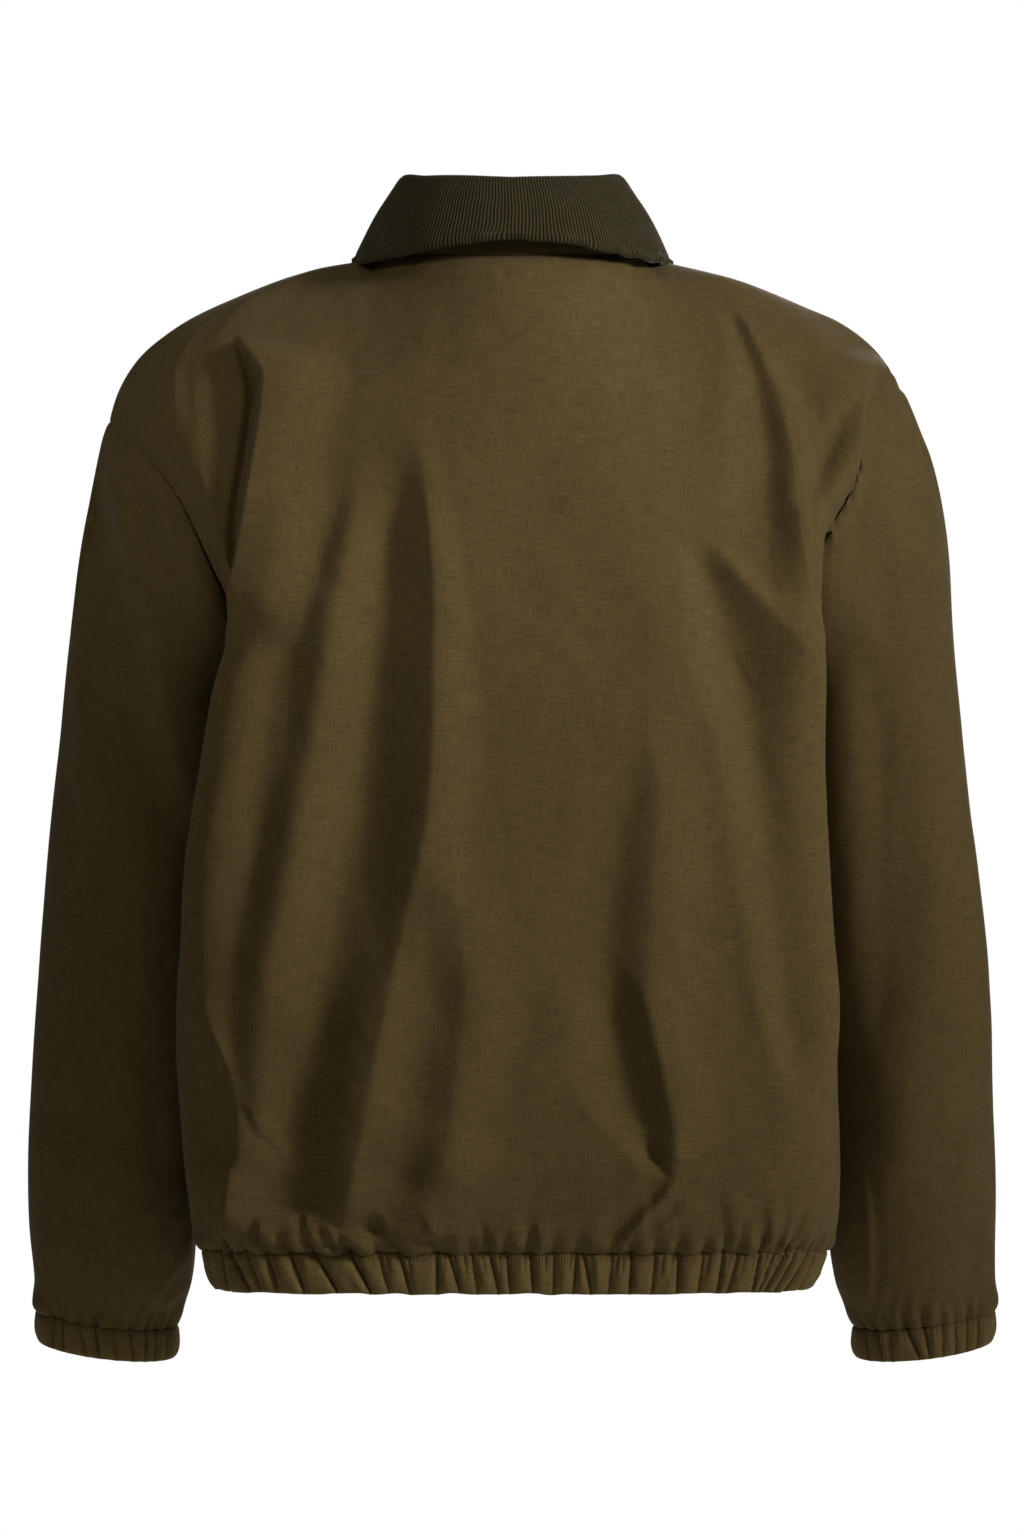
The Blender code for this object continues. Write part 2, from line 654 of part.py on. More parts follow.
def body_ring(height, share):
    """The body's section right round at a height, from the front's left edge to its right edge."""
    rows = {(side, "front"): front_section(side, share, height) for side in SIDES}
    rows.update({(side, "back"): back_section(side, share, height) for side in SIDES})
    return round_body(rows)


def build_hem(normals, cloth):
    """The doubled band round the hem, open at the zip."""
    neck = np.linspace(0, NECK_SHARE, NECK_STEPS + 1)
    share = np.concatenate([neck, np.linspace(NECK_SHARE, 1, SHOULDER_STEPS + 1)[1:]])
    heights = np.linspace(HEM_SEAM, HEM_BOTTOM, 3)
    grid = np.array([body_ring(height, share) for height in heights])
    directions = outward(grid)
    directions[0] = round_body({key: value[-1] for key, value in normals.items()})
    outer = draw_back(grid, ("top",), SEAM_GAP / 2)
    wall("hem_band", outer, outer - DOUBLED_CLOTH * directions, cloth)


def collar_angles():
    """Angles round the neck from the left front edge by the back to the right front edge."""
    neck = np.linspace(0, NECK_SIDE_ANGLE, NECK_STEPS + 1)
    ahead = np.linspace(NECK_SIDE_ANGLE, NECK_FRONT_ANGLE, NECK_STEPS + 1)[1:]
    half = np.concatenate([neck, ahead])
    return np.concatenate([half[::-1], -half[1:]])


def collar_line(angles, share, offset):
    """Points of the stand's middle surface, by share of its height, moved outward by an offset."""
    size = np.abs(angles)
    sign = np.where(angles < 0, -1.0, 1.0)
    turn = np.radians(size)
    across = np.stack([sign * np.sin(turn), np.cos(turn), 0 * turn], axis=-1)
    foot = neck_point(size, 1.0)
    foot[:, 0] *= sign
    lean = column(NECK, NECK_COLUMNS, "lean", size) * share
    height = column(NECK, NECK_COLUMNS, "stand_height", size) * share
    reach = (offset - lean)[:, None] if np.ndim(offset) else (offset - lean)[..., None]
    points = foot + across * reach
    points[:, 2] += height
    return points


def build_stand(cloth):
    """The under collar, which rises from the neck seam inside the fold of the collar."""
    angles = collar_angles()
    grid = np.array([collar_line(angles, share, 0.0) for share in reversed(STAND_SHARES)])
    directions = outward(grid)
    outer = draw_back(grid, ("bottom",), SEAM_GAP)
    wall("collar_stand", outer, outer - CLOTH * directions, cloth)


def collar_edge_point(angles):
    """The fall's lower edge, spread evenly round the neck."""
    share = np.abs(angles) / NECK_FRONT_ANGLE
    points = along(COLLAR_EDGE, share)
    points[:, 0] *= np.where(angles < 0, -1.0, 1.0)
    return points


def build_fall(corduroy):
    """The top collar: up inside the stand, over the fold and down outside to its free edge."""
    angles = collar_angles()
    rows = [collar_line(angles, share, offset) for share, offset in CREST]
    shoulder = rows[-1]
    edge = collar_edge_point(angles)
    for share in FALL_SHARES:
        bow = FALL_BOW * math.sin(math.pi * share)
        rows.append(shoulder + (edge - shoulder) * share + np.array([0, 0, bow]))
    rows.append(edge)
    grid = np.array(rows)
    directions = outward(grid)
    wall("collar_fall", grid, grid - CLOTH * directions, corduroy)


def tape_grid(side, grid, directions):
    """A zip tape under a front's edge: the front's own points, moved inward and toward the zip."""
    edge = grid[:, 0]
    deeper = edge - directions[:, 0] * (CLOTH + SEAM_GAP)
    slope = (grid[:, 1, 1] - edge[:, 1]) / np.abs(grid[:, 1, 0] - edge[:, 0])
    columns = []
    for across in (TAPE_HALF_GAP, TAPE_WIDTH / 2, TAPE_WIDTH):
        points = deeper.copy()
        points[:, 0] = SIDES[side] * across
        points[:, 1] += slope * max(across - ZIP_HALF_WIDTH, 0.0)
        columns.append(points)
    outer = np.stack(columns, axis=1)
    seam = outer[-1].copy()
    lowest = outer[-1].copy()
    deeper_still = DOUBLED_CLOTH - CLOTH + 2 * SEAM_GAP
    seam[:, 1] += deeper_still
    lowest[:, 1] += body_value("front", HEM_SEAM) - body_value("front", HEM_BOTTOM) + deeper_still
    lowest[:, 2] = HEM_BOTTOM + TAPE_FOOT_RISE
    return np.concatenate([outer[:-1], [seam, lowest]])


def build_tape(side, outer, tape):
    """One zip tape, behind the edge of its front."""
    wall("zip_tape_" + side, outer, outer + np.array([0.0, TAPE, 0.0]), tape)


def block(name, outline, near, far, material):
    """A flat plate: an outline across and up, from one distance off the cloth to another."""
    shape = bmesh.new()
    corners = [shape.verts.new((across, -near, up)) for across, up in outline]
    face = shape.faces.new(corners)
    grown = bmesh.ops.extrude_face_region(shape, geom=[face])["geom"]
    moved = [item for item in grown if isinstance(item, bmesh.types.BMVert)]
    bmesh.ops.translate(shape, verts=moved, vec=(0.0, near - far, 0.0))
    bmesh.ops.recalc_face_normals(shape, faces=shape.faces)
    mesh = bpy.data.meshes.new(name)
    shape.to_mesh(mesh)
    shape.free()
    return place(name, mesh, material)


def rectangle(width, low, high):
    """The outline of an upright bar, across and up."""
    return [(-width / 2, low), (width / 2, low), (width / 2, high), (-width / 2, high)]


def combine(obj, helper, operation):
    """Joins a helper to an object, or cuts it away, and leaves the helper out of the picture."""
    helper.hide_render = True
    helper.display_type = "WIRE"
    modifier = obj.modifiers.new(helper.name, "BOOLEAN")
    modifier.operation = operation
    modifier.object = helper


def soften(obj):
    """Breaks the sharp edges of a cast metal piece."""
    modifier = obj.modifiers.new("edges", "BEVEL")
    modifier.width = METAL_EDGE
    modifier.segments = 1
    modifier.limit_method = "ANGLE"
    modifier.angle_limit = math.radians(40)


def stand_on(frame, pieces):
    """Places pieces in a frame's own directions."""
    for piece in pieces:
        piece.parent = frame


def cloth_frame(name, low, high):
    """An empty on the line between two points of the zip, its Z along it and -Y off the cloth."""
    run = high - low
    tilt = math.atan2(-run[1], run[2])
    frame = bpy.data.objects.new(name, None)
    frame.location = (low + high) / 2 * np.array([0.0, 1.0, 1.0])
    frame.rotation_euler = (tilt, 0.0, 0.0)
    bpy.context.scene.collection.objects.link(frame)
    return frame


def build_slider(grid, brass):
    """The slider's face plate and bridge, a hair off the fronts' edges, and the tab hung from them."""
    edge = grid[:, 0]
    frame = cloth_frame("slider_frame", edge[SLIDER_ROW + 1], edge[SLIDER_ROW])
    top = SLIDER_TOP_WIDTH / 2
    foot = SLIDER_FOOT_WIDTH / 2
    half = SLIDER_LENGTH / 2
    outline = [
        (-foot, -half), (foot, -half), (foot, -0.15 * half), (top, 0.45 * half), (top, 0.85 * half),
        (0.6 * top, half), (-0.6 * top, half), (-top, 0.85 * half), (-top, 0.45 * half),
        (-foot, -0.15 * half),
    ]
    face = PLATE_CLEARANCE + PLATE
    slider = block("zip_slider", outline, PLATE_CLEARANCE, face, brass)
    post_high = face + BRIDGE_RISE + BRIDGE_TOP
    ends = BRIDGE_LENGTH / 2
    for name, low in (("lower_post", -ends), ("upper_post", ends - BRIDGE_POST)):
        section = rectangle(BRIDGE_WIDTH, low, low + BRIDGE_POST)
        post = block(name, section, face - PLATE / 2, post_high, brass)
        combine(slider, post, "UNION")
        stand_on(frame, [post])
    span = rectangle(BRIDGE_WIDTH, 0.1 * BRIDGE_POST - ends, ends - 0.1 * BRIDGE_POST)
    bar = block("bridge_bar", span, face + BRIDGE_RISE, post_high - HAIR, brass)
    combine(slider, bar, "UNION")
    stand_on(frame, [slider, bar])
    hinge = bpy.data.objects.new("tab_hinge", None)
    hinge.location = (0.0, -(face + HINGE_RISE), 0.0)
    hinge.parent = frame
    bpy.context.scene.collection.objects.link(hinge)
    build_tab(hinge, brass)


def build_tab(hinge, brass):
    """The pull tab, its bar on the hinge's axis under the slider's bridge."""
    bar = TAB_BAR / 2
    foot = bar - TAB_LENGTH
    wide = TAB_FOOT_WIDTH / 2
    narrow = TAB_TOP_WIDTH / 2
    outline = [
        (-narrow, bar), (-narrow, -TAB_WINDOW_LENGTH - 2 * TAB_BAR), (-wide, foot + wide),
        (-0.7 * wide, foot + 0.3 * wide), (-0.25 * wide, foot), (0.25 * wide, foot),
        (0.7 * wide, foot + 0.3 * wide), (wide, foot + wide),
        (narrow, -TAB_WINDOW_LENGTH - 2 * TAB_BAR), (narrow, bar),
    ]
    near = -TAB_THICKNESS / 2
    far = TAB_THICKNESS / 2
    tab = block("zip_pull", outline, near, far, brass)
    window = rectangle(TAB_WINDOW_WIDTH, -bar - TAB_WINDOW_LENGTH, -bar)
    cutter = block("tab_window", window, 3 * near, 3 * far, brass)
    combine(tab, cutter, "DIFFERENCE")
    stand_on(hinge, [tab, cutter])


def build_box(tape_edge, brass):
    """The box at the zip's foot, in front of the tapes and between the ends of the hem band."""
    high = tape_edge[-2]
    low = tape_edge[-1]
    up = (high - low) / np.linalg.norm(high - low)
    frame = cloth_frame("box_frame", low, low + up * BOX_HEIGHT)
    half = BOX_HEIGHT / 2
    wide = BOX_WIDTH / 2
    outline = [(-0.8 * wide, -half), (0.8 * wide, -half), (wide, -0.8 * half), (wide, half)]
    outline += [(-wide, half), (-wide, -0.8 * half)]
    box = block("zip_box", outline, BOX_CLEARANCE, BOX_CLEARANCE + BOX_DEPTH, brass)
    soften(box)
    stand_on(frame, [box])


def build():
    """The whole jacket, in a scene cleared of everything else."""
    for obj in list(bpy.data.objects):
        bpy.data.objects.remove(obj, do_unlink=True)
    cloth = finish("slub_weave", (0.082, 0.056, 0.021), 0.85)
    corduroy = finish("needle_corduroy", (0.033, 0.028, 0.011), 0.90)
    tape = finish("zip_tape", (0.030, 0.024, 0.013), 0.80)
    brass = finish("dark_brass", (0.24, 0.17, 0.075), 0.38, 1.0)
    grids, normals = body_panels()
    sleeves = {side: sew_sleeve(side, normals) for side in SIDES}
    sew_body(grids, normals, cloth)
    tapes = {}
    for side in SIDES:
        build_sleeve(side, *sleeves[side], cloth)
        build_cuff(side, cloth)
        tapes[side] = tape_grid(side, grids[side, "front"], normals[side, "front"])
        build_tape(side, tapes[side], tape)
    build_hem(normals, cloth)
    build_stand(cloth)
    build_fall(corduroy)
    build_slider(grids["left", "front"], brass)
    build_box(tapes["left"][:, 0], brass)


build()
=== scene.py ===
"""A blouson jacket in slub cotton with a needlecord collar, filled out as it is worn.

Metres, +Z up. The back faces +Y, so the wearer's left is +X. The origin is the middle
of the neck opening. Every cloth piece is a closed thin shell on the form of its solid,
with its folds, gathers and seams laid in, each in its own size.
"""

import logging
import math
from collections.abc import Sequence
from dataclasses import dataclass, field
from enum import Enum
from typing import ClassVar

import bpy
import numpy as np
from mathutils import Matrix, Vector
from numpy.typing import NDArray

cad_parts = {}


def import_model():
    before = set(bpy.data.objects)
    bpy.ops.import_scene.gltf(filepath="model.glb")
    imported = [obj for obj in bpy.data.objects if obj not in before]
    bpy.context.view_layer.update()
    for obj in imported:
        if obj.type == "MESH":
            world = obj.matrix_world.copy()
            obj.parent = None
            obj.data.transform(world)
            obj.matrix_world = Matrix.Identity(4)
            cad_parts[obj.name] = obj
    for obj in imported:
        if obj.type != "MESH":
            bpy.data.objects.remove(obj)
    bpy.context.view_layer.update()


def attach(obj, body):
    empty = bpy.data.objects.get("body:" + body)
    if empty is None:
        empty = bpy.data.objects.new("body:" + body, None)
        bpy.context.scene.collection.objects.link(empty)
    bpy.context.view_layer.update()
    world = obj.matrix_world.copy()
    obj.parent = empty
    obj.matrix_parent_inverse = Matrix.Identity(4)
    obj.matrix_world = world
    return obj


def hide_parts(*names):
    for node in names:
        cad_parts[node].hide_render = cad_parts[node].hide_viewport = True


Array = NDArray[np.float64]
Material = bpy.types.Material
Object = bpy.types.Object
Socket = bpy.types.NodeSocket
Pair = tuple[float, float]
Point = tuple[float, float, float]

LOG = logging.getLogger("jacket")
MM = 0.001
TURN = 2 * math.pi


class Side(Enum):
    """The wearer's side that a piece is on."""

    LEFT = "left"
    RIGHT = "right"

    @property
    def sign(self) -> float:
        """+1 on the wearer's left, which is +X, and -1 on the right."""
        return 1.0 if self is Side.LEFT else -1.0


class Face(Enum):
    """The face of the jacket that a panel is on."""

    BACK = "back"
    FRONT = "front"

    @property
    def sign(self) -> float:
        """+1 on the back, which faces +Y, and -1 on the front."""
        return 1.0 if self is Face.BACK else -1.0


# ---- curves and noise


def smooth(at: Array | float, knots: Array, values: Array) -> Array:
    """A curve with no corners through rows of values.

    Args:
        at: The knots to read it at.
        knots: The knot of each row, rising or falling.
        values: One value, or one row of values, at each knot.

    Returns:
        The values at the knots asked for, held at the end rows beyond them.
    """
    knots = np.asarray(knots, float)
    values = np.asarray(values, float)
    at = np.asarray(at, float)
    if knots[0] > knots[-1]:
        knots, values = knots[::-1], values[::-1]
    slopes = np.gradient(values, knots, axis=0)
    row = np.clip(np.searchsorted(knots, at, side="right") - 1, 0, len(knots) - 2)
    step = knots[row + 1] - knots[row]
    share = np.clip((at - knots[row]) / step, 0.0, 1.0)
    if values.ndim > 1:
        step, share = step[..., None], share[..., None]
    start = (1 + 2 * share) * (1 - share) ** 2 * values[row]
    end = share**2 * (3 - 2 * share) * values[row + 1]
    leaving = share * (1 - share) ** 2 * step * slopes[row]
    arriving = share**2 * (share - 1) * step * slopes[row + 1]
    return start + end + leaving + arriving


def read_line(marks: Array, reach: Array, line: Array) -> Array:
    """Points of a line of straight steps at some marks of its length."""
    return np.stack([np.interp(marks, reach, line[:, k]) for k in range(3)], axis=-1)


def along(points: Sequence[Sequence[float]], share: Array) -> Array:
    """Points of a smooth line through the given ones, by share of its length."""
    line = np.asarray(points, float)
    reach = lengths(line)
    return smooth(share, reach / reach[-1], line)


def lengths(line: Array) -> Array:
    """The length of a line up to each of its points, from 0."""
    steps = np.linalg.norm(np.diff(line, axis=0), axis=-1)
    return np.concatenate([np.zeros((1, *steps.shape[1:])), np.cumsum(steps, axis=0)])


def ease(value: Array | float, low: float, high: float) -> Array:
    """0 below low, 1 above high, and a soft step between."""
    share = np.clip((np.asarray(value, float) - low) / (high - low), 0.0, 1.0)
    return share * share * (3 - 2 * share)


def bell(value: Array, width: float) -> Array:
    """1 at a value of 0, falling softly to nothing over about two widths."""
    return np.exp(-((value / width) ** 2))


def bezier(start: Array, leaving: Array, arriving: Array, end: Array, share: Array) -> Array:
    """Points of a curve between two ends.

    Args:
        start: Its first point.
        leaving: The point that it leaves toward.
        arriving: The point that it arrives from.
        end: Its last point.
        share: How far along each wanted point lies, from 0 to 1.

    Returns:
        One point for each share.
    """
    share = np.asarray(share, float)[..., None]
    rest = 1 - share
    early = rest**3 * start + 3 * rest**2 * share * leaving
    return early + 3 * rest * share**2 * arriving + share**3 * end


def unit(vectors: Array) -> Array:
    """The vectors at a length of one."""
    return vectors / np.maximum(np.linalg.norm(vectors, axis=-1, keepdims=True), 1e-12)


def ripple(across: Array, down: Array, seed: int) -> Array:
    """Smooth noise.

    Args:
        across: One coordinate, in cells.
        down: The other coordinate, in cells.
        seed: The seed of its table.

    Returns:
        Values from -1 to 1 that change over about one cell.
    """
    count = 97
    table = np.random.default_rng(seed).uniform(-1, 1, (count, count))
    col = np.floor(across).astype(int)
    row = np.floor(down).astype(int)
    over = across - col
    under = down - row
    over = over**3 * (over * (over * 6 - 15) + 10)
    under = under**3 * (under * (under * 6 - 15) + 10)
    near = table[row % count, col % count] * (1 - over)
    near += table[row % count, (col + 1) % count] * over
    far = table[(row + 1) % count, col % count] * (1 - over)
    far += table[(row + 1) % count, (col + 1) % count] * over
    return near * (1 - under) + far * under


def even_shares(line: Array, shares: Array, stops: Sequence[float], counts: Sequence[int]) -> Array:
    """Shares that divide a line evenly by length within each stretch.

    Args:
        line: Points of the line.
        shares: The share of each of those points.
        stops: Shares that must be among the result, first and last included.
        counts: How many steps each stretch between two stops takes.

    Returns:
        The shares, one more than the steps.
    """
    reach = lengths(line)
    marks = np.interp(stops, shares, reach)
    parts = [np.linspace(low, high, count + 1)[1:]
             for low, high, count in zip(marks[:-1], marks[1:], counts)]
    return np.interp(np.concatenate([[marks[0]], *parts]), reach, shares)


# ---- nets of cloth


@dataclass
class Net:
    """A net of points on the outer side of a piece of cloth, rows down and columns across."""

    points: Array
    around: bool = False
    ways: Array = field(init=False)

    def __post_init__(self) -> None:
        """Finds the direction off the cloth at each point."""
        self.ways = self.directions(self.points)

    def directions(self, points: Array) -> Array:
        """The direction square to the cloth at each point, away from the hollow it encloses."""
        if self.around:
            over = np.roll(points, -1, axis=1) - np.roll(points, 1, axis=1)
            middle = points.mean(axis=1, keepdims=True)
        else:
            over = np.gradient(points, axis=1)
            middle = np.array([0.0, 0.0, 1.0]) * points
        ways = unit(np.cross(over, np.gradient(points, axis=0)))
        return -ways if ((points - middle) * ways).sum() < 0 else ways

    def over(self) -> Array:
        """The length along each row up to each point."""
        return lengths(self.points.swapaxes(0, 1)).swapaxes(0, 1)

    def down(self) -> Array:
        """The length down each column up to each point."""
        return lengths(self.points)

    def lifted(self, height: Array, shift: Array | None = None) -> Array:
        """The points moved off the cloth by a height, and by a shift of their own."""
        moved = self.points + self.ways * height[..., None]
        return moved if shift is None else moved + shift


def relaxed(points: Array, weight: Array, reach: int) -> Array:
    """Eases the corners of a net along each row.

    Args:
        points: Rows of points.
        weight: How far each point goes toward the eased one, from 0 to 1.
        reach: How many columns the easing reaches over.

    Returns:
        The eased points.
    """
    steps = np.arange(-3 * reach, 3 * reach + 1)
    shares = np.exp(-0.5 * (steps / reach) ** 2)
    pad = [(0, 0), (3 * reach, 3 * reach), (0, 0)]
    padded = np.pad(points, pad, mode="reflect", reflect_type="odd")
    width = points.shape[1]
    soft = sum(share * padded[:, k:k + width] for k, share in enumerate(shares / shares.sum()))
    return points + weight[..., None] * (soft - points)


def least_near(values: Array, reach: int, around: bool) -> Array:
    """The least value near each point of a net.

    Args:
        values: One value at each point.
        reach: How many rows and columns count as near.
        around: Whether the last column meets the first one.

    Returns:
        The least values.
    """
    least = values
    for axis in (0, 1):
        pad = [(reach, reach) if axis == side else (0, 0) for side in (0, 1)]
        padded = np.pad(least, pad, mode="wrap" if around and axis == 1 else "edge")
        size = least.shape[axis]
        least = np.min([np.take(padded, np.arange(k, k + size), axis=axis)
                        for k in range(2 * reach + 1)], axis=0)
    return least


@dataclass
class MeshParts:
    """Faces gathered by their number of corners, with a point and a place for each corner."""

    SHARP_ANGLE: ClassVar[float] = 62.0
    corners: list[Array] = field(default_factory=list)
    places: list[Array] = field(default_factory=list)

    def add(self, corners: Array, places: Array) -> None:
        """Adds faces of one size: rows of point numbers and rows of place numbers."""
        self.corners.append(corners.reshape(-1, corners.shape[-1]))
        self.places.append(places.reshape(-1, places.shape[-1]))

    def mesh(self, name: str, points: Array, cloth: Array) -> bpy.types.Mesh:
        """Makes the mesh.

        Args:
            name: Its name.
            points: All points.
            cloth: All places on the flat cloth, in metres, two numbers each.

        Returns:
            The mesh, with a UV map named cloth.
        """
        mesh = bpy.data.meshes.new(name)
        loops = np.concatenate([part.ravel() for part in self.corners])
        places = np.concatenate([part.ravel() for part in self.places])
        sizes = np.concatenate([np.full(len(part), part.shape[1]) for part in self.corners])
        starts = np.concatenate([[0], np.cumsum(sizes)[:-1]])
        mesh.vertices.add(len(points))
        mesh.vertices.foreach_set("co", points.ravel())
        mesh.loops.add(len(loops))
        mesh.loops.foreach_set("vertex_index", loops.astype(np.int32))
        mesh.polygons.add(len(sizes))
        mesh.polygons.foreach_set("loop_start", starts.astype(np.int32))
        mesh.update(calc_edges=True)
        layer = mesh.uv_layers.new(name="cloth")
        layer.data.foreach_set("uv", cloth[places].ravel())
        mesh.validate()
        mesh.shade_smooth()
        mesh.set_sharp_from_angle(angle=math.radians(self.SHARP_ANGLE))
        return mesh


@dataclass
class Shell:
    """A closed thin shell of cloth: a fine outer side, a coarser inner side and a rim."""

    net: Net
    height: Array
    thickness: float
    over: Array
    down: Array
    shift: Array | None = None
    stride: int = 3

    def mesh(self, name: str) -> bpy.types.Mesh:
        """Makes the shell's mesh, with the cloth's own coordinates as its UV map.

        Args:
            name: The mesh's name.

        Returns:
            The closed mesh.
        """
        outer = self.net.lifted(self.height, self.shift)
        step = self.stride
        around = self.net.around
        sunk = least_near(self.height, step, around) - self.thickness
        inner = self.net.lifted(sunk, self.shift)[::step, ::step]
        rows, cols = outer.shape[:2]
        base = rows * cols
        inner_cols = inner.shape[1]
        over, down = self.over, self.down
        if around:
            close = over[:, -1:] + np.linalg.norm(outer[:, :1] - outer[:, -1:], axis=-1)
            over = np.concatenate([over, close], axis=1)
            down = np.concatenate([down, down[:, :1]], axis=1)
        cloth = np.stack([over, down], axis=-1)
        inner_cloth = cloth[::step, ::step]
        wide, inner_wide = cloth.shape[1], inner_cloth.shape[1]
        cloth_base = rows * wide
        parts = MeshParts()

        def fine(row: Array, col: Array) -> tuple[Array, Array]:
            """The outer side's point and place numbers."""
            return row * cols + col % cols, row * wide + col

        def coarse(row: Array, col: Array) -> tuple[Array, Array]:
            """The inner side's point and place numbers."""
            place = cloth_base + row * inner_wide + col
            return base + row * inner_cols + col % inner_cols, place

        def faces(corners: Sequence[tuple[Array, Array]]) -> None:
            """Adds faces, corner by corner."""
            parts.add(np.stack([c[0] for c in corners], -1), np.stack([c[1] for c in corners], -1))

        last_row, last_col = rows - 1, cols - (0 if around else 1)
        row, col = np.meshgrid(np.arange(last_row), np.arange(last_col), indexing="ij")
        faces([fine(row, col), fine(row + 1, col), fine(row + 1, col + 1), fine(row, col + 1)])
        inner_last_row, inner_last_col = last_row // step, last_col // step
        row, col = np.meshgrid(np.arange(inner_last_row), np.arange(inner_last_col), indexing="ij")
        faces([coarse(row, col + 1), coarse(row + 1, col + 1), coarse(row + 1, col),
               coarse(row, col)])
        col = np.arange(inner_last_col)
        top = [fine(0 * col, step * col + k) for k in range(step + 1)]
        faces([*top, coarse(0 * col, col + 1), coarse(0 * col, col)])
        foot = [fine(0 * col + last_row, step * col + k) for k in range(step, -1, -1)]
        edge = 0 * col + inner_last_row
        faces([*foot, coarse(edge, col), coarse(edge, col + 1)])
        if not around:
            row = np.arange(inner_last_row)
            first = [fine(step * row + k, 0 * row) for k in range(step, -1, -1)]
            faces([*first, coarse(row, 0 * row), coarse(row + 1, 0 * row)])
            last = [fine(step * row + k, 0 * row + last_col) for k in range(step + 1)]
            edge = 0 * row + inner_last_col
            faces([*last, coarse(row + 1, edge), coarse(row, edge)])
        if self._faces_inward(outer):
            parts.corners = [part[:, ::-1] for part in parts.corners]
            parts.places = [part[:, ::-1] for part in parts.places]
        points = np.concatenate([outer.reshape(-1, 3), inner.reshape(-1, 3)])
        places = np.concatenate([cloth.reshape(-1, 2), inner_cloth.reshape(-1, 2)])
        return parts.mesh(name, points, places)

    def _faces_inward(self, outer: Array) -> bool:
        """Whether the outer faces, as they are wound, look at the hollow."""
        down = outer[1:, :-1] - outer[:-1, :-1]
        over = outer[:-1, 1:] - outer[:-1, :-1]
        return float((np.cross(down, over) * self.net.ways[:-1, :-1]).sum()) < 0


@dataclass(frozen=True)
class Fold:
    """One soft fold: a dip that rises to a crest on one side.

    rows gives (sideways, height, width) in millimetres down the middle of its rising side.
    slope is how steeply that side rises, in degrees. crest is +1 where it rises toward the
    wearer's right, or downward on a level fold. edge goes from 0, a soft crest, to 1, a sharp
    one. skirt is how far the fold eases out on each side, in widths. fade is the length in
    millimetres over which each end dies away. facing is +1 for a fold seen from behind and -1
    for one seen from the front. overlap leans the crest over the dip. dip is the share of its
    height that lies below the cloth, and basin how far that eases out, in widths.
    """

    rows: tuple[Point, ...]
    slope: float
    fade: Pair
    crest: float = 1.0
    edge: float = 0.3
    skirt: float = 2.2
    facing: float = 1.0
    level: bool = False
    overlap: float = 0.0
    dip: float = 0.5
    basin: float | None = None

    def _across(self, points: Array) -> tuple[Array, Array, Array]:
        """Where each point lies on the fold.

        Args:
            points: The cloth's points.

        Returns:
            How far across the fold in widths, the width there in metres, and the fade.
        """
        rows = np.asarray(self.rows) * MM
        run_axis, side_axis = (0, 1) if self.level else (1, 0)
        order = np.argsort(rows[:, run_axis])
        rows = rows[order]
        run = points[..., (0 if self.level else 2)]
        place = points[..., (2 if self.level else 0)]
        values = smooth(run, rows[:, run_axis], rows[:, [side_axis, 2]])
        lean = np.gradient(rows[:, side_axis], rows[:, run_axis])
        square = 1 / np.sqrt(1 + np.interp(run, rows[:, run_axis], lean) ** 2)
        across = self.crest * (values[..., 0] - place) * square / values[..., 1]
        low, high = rows[0, run_axis], rows[-1, run_axis]
        before, after = (self.fade if self.level else self.fade[::-1])
        fade = ease(run - low, 0, before * MM) * ease(high - run, 0, after * MM)
        return across, values[..., 1], fade

    def _seen(self, ways: Array) -> Array:
        """1 on the face of the jacket that the fold is on, fading to 0 round its sides."""
        return np.clip(2.5 * self.facing * ways[..., 1], 0, 1)

    def profile(self, across: Array) -> Array:
        """The height across the fold.

        Args:
            across: How far across each point lies, in widths.

        Returns:
            Heights in shares of the fold's full height.
        """
        quarter = math.pi / 2
        basin = self.basin or self.skirt
        low = -self.dip * np.cos(quarter * np.clip((across + 0.5) / basin, -1, 0)) ** 2
        high = (1 - self.dip) * np.cos(quarter * np.clip((across - 0.5) / self.skirt, 0, 1)) ** 2
        share = np.clip(across + 0.5, 0, 1)
        soft = 0.5 - 0.5 * np.cos(math.pi * share)
        sharp = 1 - np.cos(quarter * share)
        rise = soft + (sharp - soft) * self.edge - self.dip
        return np.where(across < -0.5, low, np.where(across > 0.5, high, rise))

    def height(self, points: Array, ways: Array) -> Array:
        """How far the fold lifts the cloth at each point, in metres."""
        across, width, fade = self._across(points)
        full = width * math.tan(math.radians(self.slope)) * 2 / math.pi
        return full * self.profile(across) * fade * self._seen(ways)

    def shift(self, points: Array, ways: Array) -> Array:
        """How far the crest leans sideways over the dip, as vectors in metres."""
        across, _, fade = self._across(points)
        lean = np.zeros_like(points)
        amount = self.overlap * MM * bell(across - 0.5, 0.6) * fade * self._seen(ways)
        lean[..., 0] = self.crest * amount
        return lean


@dataclass(frozen=True)
class Groove:
    """One narrow dip between two puffs of gathered cloth, in metres.

    at is its place along the seam, lean how far it has moved along at the band's foot, rise how
    high it reaches into the cloth above, and drift how far it moves along there for each metre
    up. A groove that isn't full dies out half way down the band.
    """

    at: float
    lean: float
    depth: float
    rise: float
    drift: float
    full: bool = True


